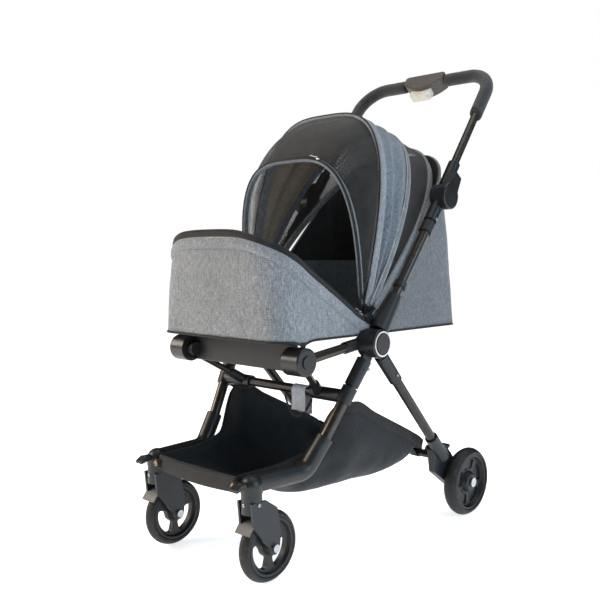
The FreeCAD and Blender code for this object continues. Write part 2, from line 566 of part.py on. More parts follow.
def strip_wire(foot, length, width, square, thickness, start, angle, feet):
    """Closed outline of a bent strip; with feet, straight ends carry it down to the pivot."""
    out = arch(foot, length, width, square, start, angle, 0)
    inn = arch(foot, length, width, square, start, angle, thickness)
    edges = []
    for points in (out, inn[::-1]):
        curve = Part.BSplineCurve()
        curve.interpolate(points)
        edges.append(curve.toShape())
    ends = [inn[0], out[0]], [out[-1], inn[-1]]
    if feet:
        low = [polar((PIVOT_Y, PIVOT_Z), angle, 0, x) for x in (foot - thickness, foot, -foot, thickness - foot)]
        ends = [inn[0], low[0], low[1], out[0]], [out[-1], low[2], low[3], inn[-1]]
    for run in ends:
        edges += Part.makePolygon(run).Edges
    return Part.Wire(Part.__sortEdges__(edges))


def rib_half_width(place):
    return PIN_OUT - place * RIB_PITCH


def build_canopy():
    hole = disc(-200, 200, PIVOT_Y, PIVOT_Z, CANOPY_PIN_R + RUN)
    for name, (angle, length, width, square, place) in RIBS.items():
        w = rib_half_width(place)
        a = math.radians(angle)
        normal = V(0, -math.sin(a), math.cos(a))
        strip = Part.Face(strip_wire(w, length, width, square, RIB_T, RIB_FOOT, angle, True))
        strip.translate(normal * (-RIB_W / 2))
        eyes = [disc(x, x + RIB_T, PIVOT_Y, PIVOT_Z, EYE_R) for x in (w - RIB_T, -w)]
        save(name, strip.extrude(normal * RIB_W).fuse(eyes).cut(hole))
    names = list(RIBS)
    for low, high, panel in zip(names, names[1:], ("rear_panel", "top_panel", "door_panel")):
        wires = []
        span = RIBS[high][0] - RIBS[low][0]
        for step in (PANEL_STEP, span - PANEL_STEP):
            angle, length, width, square, place = (a + (b - a) * step / span for a, b in zip(RIBS[low], RIBS[high]))
            wires.append(strip_wire(rib_half_width(place), length, width, square, PANEL, PANEL_FROM, angle, False))
        save(panel, Part.makeLoft(wires, True, True))
    plate = disc(PIN_OUT + GAP, PIN_OUT + 6.0, PIVOT_Y, PIVOT_Z, 12)
    stack_in = rib_half_width(3) - RIB_T - 1
    pin = disc(stack_in - 4, PIN_OUT + 4, PIVOT_Y, PIVOT_Z, CANOPY_PIN_R)
    head = disc(stack_in - 6, stack_in, PIVOT_Y, PIVOT_Z, 7)
    save_both("canopy_hinges", plate.fuse([pin, head]))


# ---- cabin -----------------------------------------------------------------------------
CABIN_TOP = 930.0
CABIN_NARROWING = 22.0       # each side wall leans in by this much up to CABIN_TOP
CABIN_REAR_LEAN = 16.0
FLOOR_CORNERS = (14.0, 18.0)         # front and rear corner radii at the floor
TOP_CORNERS = (125.0, 105.0)         # the same at CABIN_TOP
BOARD_CORNERS = (8.0, 10.0)          # the same on the floor board and the pad
FLOOR_T = 5.0
FLOOR_INSET = 10.0
PAD_T = 18.0                 # its top stays under the canopy pins' heads
PAD_INSET = 18.0
PIN_CLEAR_R = 19.0           # wall cut away round the canopy pivot


def plan_wire(half_width, front, rear, front_r, rear_r, z):
    """Rounded rectangle seen from above."""
    w, f, b = half_width, front, rear
    k = math.sqrt(0.5)

    def corner(x, y, r, sx, sy, first):
        """Arc at a corner; first says which end comes first going round."""
        centre = V(x - sx * r, y - sy * r, z)
        ends = [centre + V(sx * r, 0, 0), centre + V(0, sy * r, 0)]
        if first == "y":
            ends.reverse()
        return Part.Arc(ends[0], centre + V(sx * r * k, sy * r * k, 0), ends[1])

    arcs = [corner(w, f, front_r, 1, -1, "y"), corner(w, b, rear_r, 1, 1, "x"),
            corner(-w, b, rear_r, -1, 1, "y"), corner(-w, f, front_r, -1, -1, "x")]
    edges = []
    for arc, after in zip(arcs, arcs[1:] + arcs[:1]):
        edges += [arc.toShape(), Part.LineSegment(arc.EndPoint, after.StartPoint).toShape()]
    return Part.Wire(edges)


def tub(inset):
    """Outer or inner body of the cabin wall, from the floor to above the canopy."""
    rise = (CABIN_TOP - CABIN_FLOOR_Z) / (RIM_FRONT_Z - CABIN_FLOOR_Z)
    low = plan_wire(CABIN_HALF_WIDTH - inset, CABIN_FRONT_Y + inset, CABIN_REAR_Y - inset,
                    FLOOR_CORNERS[0] - inset, FLOOR_CORNERS[1] - inset, CABIN_FLOOR_Z)
    lean = CABIN_LEAN * rise
    high = plan_wire(CABIN_HALF_WIDTH - CABIN_NARROWING - inset, CABIN_FRONT_Y - lean + inset,
                     CABIN_REAR_Y + CABIN_REAR_LEAN - inset, TOP_CORNERS[0] - inset, TOP_CORNERS[1] - inset,
                     CABIN_TOP)
    return Part.makeLoft([low, high], True, True)


def build_cabin():
    wall = tub(0).cut(tub(FABRIC))
    rim = [(PIVOT_Y, PIVOT_Z + 10), (-67, 518), (-108, 539), (-151, 565), (-188, 595), (-223, 622), (-252, 645),
           (-282, 665), (-308, RIM_FRONT_Z), (-420, RIM_FRONT_Z + 8), (-420, 1000), (PIVOT_Y, 1000)]
    behind = box(-250, 250, PIVOT_Y - 0.3, 500, 0, 1000)
    around_pin = [disc(x, x + 100, PIVOT_Y, PIVOT_Z, PIN_CLEAR_R) for x in (150, -250)]
    front = wall.cut([slab(rim, -250, 250), behind] + around_pin)
    save("front_bucket", front)
    angle = RIBS["rear_rib"][0]
    edge = [polar((PIVOT_Y, PIVOT_Z), angle, s, 0) for s in (-400, 800)]
    a = math.radians(angle)
    back = V(0, math.sin(a), -math.cos(a)) * (RIB_W / 2 + 2.5)
    above = slab([(edge[0].y + back.y, edge[0].z + back.z), (edge[1].y + back.y, edge[1].z + back.z),
                  (edge[1].y, 1600), (edge[0].y - 400, 1600)], -250, 250)
    rear = wall.cut([above, box(-250, 250, -600, PIVOT_Y + 0.3, 0, 1000)] + around_pin)
    save("rear_bucket", rear)
    floor = plan_wire(CABIN_HALF_WIDTH - FLOOR_INSET, CABIN_FRONT_Y + FLOOR_INSET, CABIN_REAR_Y - FLOOR_INSET,
                      *BOARD_CORNERS, CABIN_FLOOR_Z)
    save("cabin_floor", Part.Face(floor).extrude(Z_AXIS * FLOOR_T))
    pad = plan_wire(CABIN_HALF_WIDTH - PAD_INSET, CABIN_FRONT_Y + PAD_INSET, CABIN_REAR_Y - PAD_INSET,
                    *BOARD_CORNERS, CABIN_FLOOR_Z + FLOOR_T + 0.3)
    save("cabin_pad", Part.Face(pad).extrude(Z_AXIS * PAD_T))


# ---- basket ----------------------------------------------------------------------------
def plan_prism(points, z0, z1):
    loop = [V(x, y, z0) for x, y in points] + [V(-x, y, z0) for x, y in reversed(points)]
    return Part.Face(Part.makePolygon(loop + loop[:1])).extrude(Z_AXIS * (z1 - z0))


def build_basket():
    """Fabric trough between the front legs, open at the top."""
    def trough(inset, lift):
        top = [(188, 190), (160, 209), (0, 286), (-66, 318), (-118, 310), (-160, 238), (-206, 218), (-352, 211)]
        if lift:
            top = [(y, z + 60) for y, z in top]
            top[0], top[-1] = (188 - inset, 250), (-352 + inset, 280)
        bottom = [(-352 + inset, 178 + inset), (-250, 160 + inset), (-160, 122 + inset), (40, 115 + inset),
                  (130, 126 + inset), (188 - inset, 143 + inset)]
        side = slab(top + bottom, -200, 200)
        plan = [(172 - inset, 188), (172 - inset, -70), (152 - inset, -130), (132 - inset, -180),
                (118 - inset, -320), (118 - inset, -352)]
        return side.common(plan_prism(plan, 0, 600))
    save("basket", trough(0, False).cut(trough(3.0, True)))


build_hub()
build_front_frame()
build_swivel_levers()
build_board()
build_fork()
build_front_wheels()
build_rear_wheels()
build_rear_frame()
build_push_frame()
build_handle()
build_canopy()
build_cabin()
build_basket()
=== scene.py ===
"""Pet stroller: its cabin, canopy, basket, grips, tyres and trim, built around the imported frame."""

import math
import random

import bmesh
import bpy
import numpy as np
from bpy.props import FloatProperty, FloatVectorProperty, PointerProperty
from mathutils import Matrix, Vector, noise


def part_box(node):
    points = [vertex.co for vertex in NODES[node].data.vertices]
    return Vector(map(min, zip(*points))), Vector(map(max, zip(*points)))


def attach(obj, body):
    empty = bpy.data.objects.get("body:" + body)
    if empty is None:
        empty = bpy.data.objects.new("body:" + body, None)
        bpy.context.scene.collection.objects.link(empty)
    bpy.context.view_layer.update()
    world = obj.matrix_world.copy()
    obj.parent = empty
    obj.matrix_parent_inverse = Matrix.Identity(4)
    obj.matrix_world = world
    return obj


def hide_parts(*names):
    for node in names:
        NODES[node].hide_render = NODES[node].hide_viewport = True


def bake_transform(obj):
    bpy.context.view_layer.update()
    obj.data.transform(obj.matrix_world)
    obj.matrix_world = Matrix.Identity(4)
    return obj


bl_info = {
    "name": "Pet Stroller",
    "version": (1, 0, 0),
    "blender": (4, 5, 0),
    "location": "3D View > Sidebar > Stroller",
    "description": "Builds the soft goods, tyres and trim of a folding pet stroller",
    "category": "Object",
}

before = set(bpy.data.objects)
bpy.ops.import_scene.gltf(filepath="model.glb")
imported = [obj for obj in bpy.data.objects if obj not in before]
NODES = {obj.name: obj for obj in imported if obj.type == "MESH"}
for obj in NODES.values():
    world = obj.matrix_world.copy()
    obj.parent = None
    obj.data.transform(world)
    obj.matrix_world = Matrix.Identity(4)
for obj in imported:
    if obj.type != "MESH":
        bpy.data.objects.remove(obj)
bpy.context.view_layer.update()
MM = 0.001
LEFT, RIGHT = 1, -1
SIDES = ((LEFT, "left"), (RIGHT, "right"))

# ---- sizes shared with the frame, in millimetres ---------------------------------------
FLOOR_Z = 460.0
PLAN_RISE = 470.0
PIVOT = (-40.0, 494.0)
RIM_LINE = [  # (y, height) of the rim along each side, from the pivot forward
    (-40, 492), (-58, 497), (-76, 507), (-95, 520), (-126, 540), (-156, 559), (-185, 577.5),
    (-213, 595.5), (-244, 617), (-276, 640), (-298, 657), (-332, 690)]
RIM_FRONT = 681.0  # height of the rim at the middle of the front
RIM_CROWN = 0.0015  # the front rim's drop, per square millimetre from the middle
KNUCKLE_Y = -240.0  # the front knuckles, where the hem is pulled down
RIBS = {  # angle above the rearward level, apex length, half width, squareness, half width at the pivot
    "rear": (47.7, 540.0, 210.0, 2.26, 182.0),
    "mid": (60.0, 494.0, 203.0, 2.38, 177.5),
    "front": (79.6, 454.0, 194.0, 3.44, 173.0),
    "door": (97.5, 341.0, 178.0, 3.31, 168.5),
}
CLOTH_RADIUS = 330.0  # mean distance of the canopy cloth from the pivot, for its weave
RIB_FOOT = 10.0  # from the pin to where a rib starts to spread
KNUCKLE = (200.3, 759.8)  # (y, z) of the upper knuckles, where the handle turns
HANDLE_ANGLE = 53.6  # handle above the level, in degrees
HANDLE_REACH = 399.0  # from the knuckle to the middle of the grip bar
HANDLE_HALF = 200.0
HANDLE_CORNER = 72.0  # radius of the handle's two bends
GRIP_FROM = 251.0  # where the foam starts, along the handle
BASKET_REAR = 190.0
BASKET_TOP = [  # (y, height) of the side hems
    (-356, 209), (-206, 218), (-160, 238), (-118, 310), (-66, 318), (0, 286), (160, 209), (198, 188)]
BASKET_BOTTOM = [  # (y, height) of the trough's floor
    (-356, 184), (-320, 172), (-250, 160), (-160, 124), (-60, 117), (40, 117), (130, 128), (170, 140),
    (198, 152)]
BASKET_PLAN = [  # (y, half width)
    (-356, 117), (-320, 117), (-180, 131), (-130, 151), (-70, 171), (160, 171), (198, 165)]


# ---- finishes --------------------------------------------------------------------------
class Finish:
    """A procedural material, put together node by node."""

    def __init__(self, name, colour, roughness, **fixed):
        self.material = bpy.data.materials.new(name)
        self.material.use_nodes = True
        self.tree = self.material.node_tree
        self.tree.nodes.clear()
        out = self.add("ShaderNodeOutputMaterial")
        self.shader = self.add("ShaderNodeBsdfPrincipled")
        self.join(self.shader.outputs[0], out.inputs["Surface"])
        self.shader.inputs["Base Color"].default_value = (*colour, 1)
        self.shader.inputs["Roughness"].default_value = roughness
        for socket, value in fixed.items():
            name = socket.replace("_", " ").title().replace("Ior", "IOR")
            self.shader.inputs[name].default_value = value
        self.material.diffuse_color = (*colour, 1)

    def add(self, kind, **settings):
        node = self.tree.nodes.new(kind)
        for key, value in settings.items():
            setattr(node, key, value)
        return node

    def join(self, output, socket):
        self.tree.links.new(output, socket)

    def place(self, stretch=(1, 1, 1), source="Object"):
        mapping = self.add("ShaderNodeMapping")
        mapping.inputs["Scale"].default_value = stretch
        self.join(self.add("ShaderNodeTexCoord").outputs[source], mapping.inputs["Vector"])
        return mapping.outputs[0]

    def speckle(self, where, per_metre, detail=2.0, roughness=0.5):
        node = self.add("ShaderNodeTexNoise")
        node.inputs["Scale"].default_value = per_metre
        node.inputs["Detail"].default_value = detail
        node.inputs["Roughness"].default_value = roughness
        self.join(where, node.inputs["Vector"])
        return node.outputs["Fac"]

    def threads(self, where, pitch, direction):
        node = self.add("ShaderNodeTexWave", bands_direction=direction)
        node.inputs["Scale"].default_value = 2 * math.pi / 20 / pitch
        node.inputs["Distortion"].default_value = 0.6
        node.inputs["Detail Scale"].default_value = 1.5
        self.join(where, node.inputs["Vector"])
        return node.outputs["Fac"]

    def maths(self, operation, a, b):
        node = self.add("ShaderNodeMath", operation=operation)
        for socket, value in zip(node.inputs, (a, b)):
            if isinstance(value, (int, float)):
                socket.default_value = value
            else:
                self.join(value, socket)
        return node.outputs[0]

    def ramp(self, value, stops):
        node = self.add("ShaderNodeValToRGB")
        elements = node.color_ramp.elements
        while len(elements) < len(stops):
            elements.new(0.5)
        for element, (at, colour) in zip(elements, stops):
            element.position = at
            element.color = (*colour, 1) if isinstance(colour, tuple) else (colour, colour, colour, 1)
        self.join(value, node.inputs["Fac"])
        return node.outputs["Color"]

    def blend(self, share, first, second, mode="MIX"):
        node = self.add("ShaderNodeMix", data_type="RGBA", blend_type=mode)
        pairs = ((node.inputs[0], share), (node.inputs[6], first), (node.inputs[7], second))
        for socket, value in pairs:
            if isinstance(value, (int, float)):
                socket.default_value = value
            elif isinstance(value, tuple):
                socket.default_value = (*value, 1)
            else:
                self.join(value, socket)
        return node.outputs[2]

    def paint(self, colour):
        self.join(colour, self.shader.inputs["Base Color"])

    def gloss(self, value, low, high):
        spread = self.add("ShaderNodeMapRange")
        spread.inputs["To Min"].default_value = low
        spread.inputs["To Max"].default_value = high
        self.join(value, spread.inputs["Value"])
        self.join(spread.outputs[0], self.shader.inputs["Roughness"])

    def relief(self, *layers):
        """Bumps from (height, depth in metres) layers, coarse to fine."""
        normal = None
        for height, depth in layers:
            node = self.add("ShaderNodeBump")
            node.inputs["Distance"].default_value = depth
            node.inputs["Strength"].default_value = 1.0
            self.join(height, node.inputs["Height"])
            if normal is not None:
                self.join(normal, node.inputs["Normal"])
            normal = node.outputs[0]
        self.join(normal, self.shader.inputs["Normal"])


def shade(colour, factor):
    return tuple(min(1.0, c * factor) for c in colour)


def heather_cloth(name, colour, contrast=1.0, pitch=0.0011):
    """Melange canvas: light and dark slubs running up and across over a plain weave."""
    f = Finish(name, colour, 0.88, sheen_weight=0.25, sheen_roughness=0.5, specular_ior_level=0.25)
    up = f.speckle(f.place((1, 1, 0.16)), 520, 3, 0.62)
    across = f.speckle(f.place((0.2, 0.2, 1)), 640, 2.5, 0.6)
    yarn = f.maths("ADD", f.maths("MULTIPLY", up, 0.62), f.maths("MULTIPLY", across, 0.38))
    low, high = shade(colour, 1 - 0.62 * contrast), shade(colour, 1 + 0.85 * contrast)
    dull, bright = shade(colour, 0.86), shade(colour, 1.08)
    slubs = f.ramp(yarn, [(0.36, low), (0.47, dull), (0.54, bright), (0.66, high)])
    broad = f.ramp(f.speckle(f.place(), 14, 2), [(0.3, 0.86), (0.7, 1.0)])
    f.paint(f.blend(1.0, slubs, broad, "MULTIPLY"))
    uv = f.place((1, 1, 1), "UV")
    weave = f.maths("MAXIMUM", f.threads(uv, pitch, "X"), f.threads(uv, pitch, "Y"))
    f.relief((yarn, 0.0007), (weave, 0.00028))
    return f.material


def plain_cloth(name, colour, pitch=0.0012, depth=0.0003, sheen=0.12, roughness=0.8):
    """Dark coated canvas with a fine weave and faint rub marks."""
    f = Finish(name, colour, roughness, sheen_weight=sheen, sheen_roughness=0.45, specular_ior_level=0.3)
    rub = f.speckle(f.place(), 36, 4, 0.65)
    f.paint(f.ramp(rub, [(0.3, shade(colour, 0.72)), (0.52, colour), (0.75, shade(colour, 1.55))]))
    uv = f.place((1, 1, 1), "UV")
    weave = f.maths("MULTIPLY", f.threads(uv, pitch, "X"), f.threads(uv, pitch, "Y"))
    f.gloss(rub, roughness - 0.12, roughness + 0.1)
    f.relief((f.speckle(f.place(), 160, 3), 0.0006), (weave, depth))
    return f.material


def net_cloth(name, colour, pitch, open_share):
    """Knitted mesh with small round holes that let light through."""
    f = Finish(name, colour, 0.7, sheen_weight=0.2, specular_ior_level=0.3)
    uv = f.place((1, 1, 1), "UV")
    cells = f.add("ShaderNodeTexVoronoi", voronoi_dimensions="2D")
    cells.inputs["Scale"].default_value = 1 / pitch
    cells.inputs["Randomness"].default_value = 0.12
    f.join(uv, cells.inputs["Vector"])
    distance = cells.outputs["Distance"]
    edge = math.sqrt(open_share / math.pi)
    f.join(f.ramp(distance, [(edge - 0.03, 0.0), (edge + 0.03, 1.0)]), f.shader.inputs["Alpha"])
    rub = f.speckle(f.place(), 60, 3)
    f.paint(f.ramp(rub, [(0.3, shade(colour, 0.7)), (0.7, shade(colour, 1.5))]))
    f.relief((distance, 0.0006))
    return f.material


def moulded_plastic(name, colour, roughness=0.42, grain=0.00012, **more):
    """Injection-moulded plastic: fine spark grain, slight gloss changes, paler scuffs."""
    f = Finish(name, colour, roughness, specular_ior_level=0.45, **more)
    spark = f.speckle(f.place(), 1500, 2, 0.6)
    scuff = f.speckle(f.place(), 55, 5, 0.7)
    f.paint(f.ramp(scuff, [(0.35, shade(colour, 0.82)), (0.6, colour), (0.8, shade(colour, 1.5))]))
    f.gloss(scuff, roughness - 0.08, roughness + 0.14)
    f.relief((f.speckle(f.place(), 90, 2), 0.00025), (spark, grain))
    return f.material


def coated_tube(name, colour, roughness=0.3, metallic=0.75):
    """Anodised tube: drawn lines along it and a soft metallic gloss."""
    f = Finish(name, colour, roughness, metallic=metallic, specular_ior_level=0.5, coat_weight=0.25,
               coat_roughness=0.25)
    wear = f.speckle(f.place(), 70, 5, 0.68)
    f.paint(f.ramp(wear, [(0.3, shade(colour, 0.8)), (0.55, colour), (0.78, shade(colour, 1.45))]))
    f.gloss(f.speckle(f.place((1, 0.12, 0.12)), 900, 3), roughness - 0.07, roughness + 0.12)
    f.relief((f.speckle(f.place(), 1100, 2), 0.00005))
    return f.material


def bare_metal(name, colour, roughness):
    """Plated or stainless metal with faint turning marks."""
    f = Finish(name, colour, roughness, metallic=1.0)
    marks = f.speckle(f.place(), 800, 3, 0.6)
    f.gloss(marks, roughness - 0.05, roughness + 0.15)
    f.paint(f.ramp(f.speckle(f.place(), 120, 3), [(0.3, shade(colour, 0.8)), (0.7, colour)]))
    return f.material


def soft_foam(name, colour):
    """Closed-cell foam: tiny open cells over faint ripples."""
    f = Finish(name, colour, 0.82, sheen_weight=0.2, sheen_roughness=0.6, specular_ior_level=0.25)
    cells = f.add("ShaderNodeTexVoronoi")
    cells.inputs["Scale"].default_value = 850
    f.join(f.place(), cells.inputs["Vector"])
    f.paint(f.ramp(f.speckle(f.place(), 240, 4), [(0.3, shade(colour, 0.65)), (0.7, shade(colour, 1.35))]))
    f.relief((f.speckle(f.place(), 130, 3), 0.0008), (cells.outputs["Distance"], 0.0005))
    return f.material


def tyre_rubber(name, colour):
    """EVA tyre: matt, dusty on the tread, a little glossy on the shoulders."""
    f = Finish(name, colour, 0.55, specular_ior_level=0.4)
    dust = f.speckle(f.place(), 110, 5, 0.7)
    f.paint(f.ramp(dust, [(0.35, shade(colour, 0.7)), (0.55, colour), (0.78, (0.075, 0.062, 0.052))]))
    f.gloss(dust, 0.42, 0.72)
    f.relief((f.speckle(f.place(), 320, 4), 0.0004), (f.speckle(f.place(), 1300, 2), 0.00015))
    return f.material


MATERIALS = {}


def material(name):
    return MATERIALS[name]


# ---- small tools -----------------------------------------------------------------------
def smoothstep(low, high, value):
    t = min(1.0, max(0.0, (value - low) / (high - low)))
    return t * t * (3 - 2 * t)


def along_line(points, at):
    """Height of a smooth line through (position, height) points."""
    xs, ys = [p[0] for p in points], [p[1] for p in points]
    i = max(0, min(len(xs) - 2, int(np.searchsorted(xs, at)) - 1))
    slopes = [(ys[k + 1] - ys[k]) / (xs[k + 1] - xs[k]) for k in range(len(xs) - 1)]
    inner = [(a + b) / 2 if a * b > 0 else 0 for a, b in zip(slopes, slopes[1:])]
    tangents = [slopes[0], *inner, slopes[-1]]
    span = xs[i + 1] - xs[i]
    t = min(1.0, max(0.0, (at - xs[i]) / span))
    t2, t3 = t * t, t * t * t
    return ((2 * t3 - 3 * t2 + 1) * ys[i] + (t3 - 2 * t2 + t) * span * tangents[i]
            + (3 * t2 - 2 * t3) * ys[i + 1] + (t3 - t2) * span * tangents[i + 1])


def ripple(x, y, z, size):
    """Smooth random height from -1 to 1, for a feature of that size in millimetres."""
    return noise.noise(Vector((x / size, y / size, z / size)))


def make_piece(name, verts, faces, finishes, corners=None, indices=None, closed=True, smooth=True):
    """Mesh object from points in millimetres; corners are the UVs per point, in millimetres."""
    mesh = bpy.data.meshes.new(name)
    mesh.from_pydata([Vector(v) * MM for v in verts], [], faces)
    for finish in finishes:
        mesh.materials.append(material(finish))
    if indices:
        mesh.polygons.foreach_set("material_index", indices)
    if corners:
        layer = mesh.uv_layers.new(name="UVMap")
        for loop in mesh.loops:
            u, v = corners[loop.vertex_index]
            layer.data[loop.index].uv = (u * MM, v * MM)
    if closed:
        turn_out(mesh)
    for polygon in mesh.polygons:
        polygon.use_smooth = smooth
    piece = bpy.data.objects.new(name, mesh)
    bpy.context.scene.collection.objects.link(piece)
    return piece


def edit_all():
    """Edit mode with everything selected."""
    bpy.ops.object.mode_set(mode="EDIT")
    bpy.ops.mesh.select_all(action="SELECT")


def edit_faces(piece, wanted):
    """Edit mode with only the wanted faces selected."""
    bpy.ops.object.mode_set(mode="EDIT")
    bpy.ops.mesh.select_all(action="DESELECT")
    bpy.ops.object.mode_set(mode="OBJECT")
    for polygon in piece.data.polygons:
        polygon.select = wanted(polygon)
    bpy.ops.object.mode_set(mode="EDIT")


def turn_out(mesh):
    bm = bmesh.new()
    bm.from_mesh(mesh)
    bmesh.ops.recalc_face_normals(bm, faces=bm.faces)
    bm.to_mesh(mesh)
    bm.free()


def grid_faces(rows, columns, loop=False):
    faces = []
    for i in range(rows - 1):
        for j in range(columns if loop else columns - 1):
            k = (j + 1) % columns
            faces.append((i * columns + j, i * columns + k, (i + 1) * columns + k, (i + 1) * columns + j))
    return faces


def finish_with(piece, kind, **settings):
    """Adds a modifier and applies it."""
    modifier = piece.modifiers.new(kind.title(), kind)
    for key, value in settings.items():
        setattr(modifier, key, value)
    with bpy.context.temp_override(object=piece, active_object=piece, selected_objects=[piece]):
        bpy.ops.object.modifier_apply(modifier=modifier.name)
    return piece


def sweep(path, section, normals=None, sizes=None, loop=False):
    """Points, faces and UVs of a closed section carried along a path, in millimetres."""
    path = [Vector(p) for p in path]
    count, sides = len(path), len(section)
    verts, corners, normal, run = [], [], None, 0.0
    around = [0.0]
    for (a0, b0), (a1, b1) in zip(section, section[1:]):
        around.append(around[-1] + math.hypot(a1 - a0, b1 - b0))
    for i, p in enumerate(path):
        before = path[i - 1] if i or loop else p
        after = path[(i + 1) % count] if i < count - 1 or loop else p
        tangent = (after - before).normalized()
        if normals is not None:
            normal = Vector(normals[i])
        elif normal is None:
            normal = tangent.orthogonal()
        normal = (normal - tangent * normal.dot(tangent)).normalized()
        side = tangent.cross(normal)
        size = sizes[i] if sizes else 1.0
        run += (p - path[i - 1]).length if i else 0.0
        for (a, b), v in zip(section, around):
            verts.append(p + normal * (a * size) + side * (b * size))
            corners.append((run, v))
    faces = grid_faces(count, sides, True)
    if loop:
        last = (count - 1) * sides
        faces += [(last + j, last + (j + 1) % sides, (j + 1) % sides, j) for j in range(sides)]
    else:
        for first, p in ((0, path[0]), ((count - 1) * sides, path[-1])):
            verts.append(sum((Vector(v) for v in verts[first:first + sides]), Vector()) / sides)
            corners.append(corners[first])
            faces += [(first + j, first + (j + 1) % sides, len(verts) - 1) for j in range(sides)]
    return verts, faces, corners


def ring(radius, sides=12, flat=1.0):
    return [(radius * math.cos(2 * math.pi * k / sides), flat * radius * math.sin(2 * math.pi * k / sides))
            for k in range(sides)]


def pill(width, height, sides=4):
    """Rounded flat section: height along the normal, width across."""
    r = height / 2
    half = width / 2 - r
    points = []
    for sign, start in ((1, -90), (-1, 90)):
        for k in range(sides + 1):
            a = math.radians(start + 180 * k / sides)
            points.append((r * math.sin(a) * 1.0, sign * half + r * math.cos(a)))
    return points


def swept_piece(name, path, section, finish, **options):
    verts, faces, corners = sweep(path, section, **options)
    return make_piece(name, verts, faces, [finish], corners)


def joined(name, parts):
    """Joins pieces into the first one."""
    bpy.ops.object.select_all(action="DESELECT")
    for part in parts:
        part.select_set(True)
    bpy.context.view_layer.objects.active = parts[0]
    if len(parts) > 1:
        bpy.ops.object.join()
    parts[0].name = name
    parts[0].data.name = name
    parts[0].select_set(False)
    return parts[0]


def give(piece, body, replaces=()):
    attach(piece, body)
    if replaces:
        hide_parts(*replaces)
    return piece


# ---- cabin: a tub of padded cloth ------------------------------------------------------
def cabin_plan(z):
    """Half width, front, rear and corner radii of the cabin at a height."""
    k = (z - FLOOR_Z) / PLAN_RISE
    return 182 - 22 * k, -300 - 30 * k, 302 + 16 * k, 40 + 117 * k, 18 + 87 * k


def cabin_walk(end, side_count, corner_count, end_count):
    """Stations round the front (-1) or rear (1) half, from the left pivot to the right one."""
    walk = [("side", LEFT, k / side_count) for k in range(side_count)]
    walk += [("corner", LEFT, k / corner_count) for k in range(corner_count)]
    walk += [("end", 0, k / end_count) for k in range(end_count)]
    walk += [("corner", RIGHT, 1 - k / corner_count) for k in range(corner_count)]
    walk += [("side", RIGHT, 1 - k / side_count) for k in range(side_count + 1)]
    return [(end, *w) for w in walk]


def cabin_point(station, z, out=0.0):
    """Point of the cabin's outer face at a station and height, moved outwards."""
    end, kind, side, t = station
    half, front, rear, front_r, rear_r = cabin_plan(z)
    wall, r = (front, front_r) if end < 0 else (rear, rear_r)
    if kind == "side":
        p = (side * (half + out), PIVOT[0] + (wall - end * r - PIVOT[0]) * t)
    elif kind == "corner":
        a = t * math.pi / 2
        p = (side * (half - r + (r + out) * math.cos(a)), wall - end * r + end * (r + out) * math.sin(a))
    else:
        p = ((half - r) * (1 - 2 * t), wall + end * out)
    return Vector((p[0], p[1], z))


def rim_height(station):
    """The rim climbs along the side and arches over the front."""
    z, soft = 600.0, 5.0
    for _ in range(10):
        p = cabin_point(station, z)
        side = along_line([(-y, h) for y, h in RIM_LINE], -p.y)
        z = -soft * np.logaddexp(-side / soft, -(RIM_FRONT - RIM_CROWN * p.x ** 2) / soft)
    return float(z)


def hem_dip(p):
    """The hem is pulled down where its tabs meet the front knuckles."""
    return 7.0 * math.exp(-((p.y - KNUCKLE_Y) / 17) ** 2) if abs(p.x) > 140 else 0.0


def rear_edge_height(station):
    z, slope = 700.0, math.tan(math.radians(RIBS["rear"][0]))
    for _ in range(12):
        z = PIVOT[1] + (cabin_point(station, z).y - PIVOT[0]) * slope - 9.0
    return max(z, FLOOR_Z + 6)


def tub_wall(name, walk, top_of, profile, finishes, pucker, line_z=None):
    """Closed wall of the tub. Each profile row is (share of height, drop in mm, outward mm, finish number).

    With line_z, finish 1 runs from the floor up to that height and finish 2 from there to the top.
    """
    verts, corners, indices, run = [], [], [], 0.0
    columns, rows = len(walk), len(profile)
    grid = []
    for j, station in enumerate(walk):
        top = top_of(station)
        base = cabin_point(station, FLOOR_Z)
        foot = FLOOR_Z + 1.5 - hem_dip(base)
        run += (base - cabin_point(walk[j - 1], foot)).length if j else 0.0
        column = []
        line = min(line_z, top - 8) if line_z else top
        spans = {0: (foot, top), 1: (foot, line), 2: (line if line_z else foot, top)}
        for share, drop, out, finish in profile:
            low, high = spans[finish]
            z = low + (high - low) * share + drop
            bulge = pucker(station, (z - foot) / max(1.0, top - foot), z, base) if out > -3 else 0.0
            column.append((cabin_point(station, z, out + bulge), (run, z)))
        grid.append(column)
    for i in range(rows):
        for j in range(columns):
            verts.append(grid[j][i][0])
            corners.append(grid[j][i][1])
    faces = grid_faces(rows, columns)
    indices = [profile[k // (columns - 1)][3] for k in range(len(faces))]
    bottom = (rows - 1) * columns
    faces += [(bottom + j, bottom + j + 1, j + 1, j) for j in range(columns - 1)]
    indices += [0] * (columns - 1)
    for j in (0, columns - 1):
        faces.append([i * columns + j for i in range(rows)])
        indices.append(0)
    return make_piece(name, verts, faces, finishes, corners, indices)


def cloth_pucker(depth):
    """Loose-cloth swelling: broad billows, diagonal drag lines and small creases."""
    def pucker(station, share, z, base):
        hang = math.sin(math.pi * min(1.0, max(0.0, share))) ** 0.7
        billow = ripple(base.x, base.y, z * 0.8, 95)
        drag = ripple(base.x * 0.5, (base.y + z) * 1.1, 40, 34)
        crease = ripple(base.x * 1.3, base.y * 1.3, z * 0.35 + 300, 26)
        return hang * (1.4 * depth + depth * 0.9 * billow) + 0.8 * drag * hang + 0.55 * crease
    return pucker


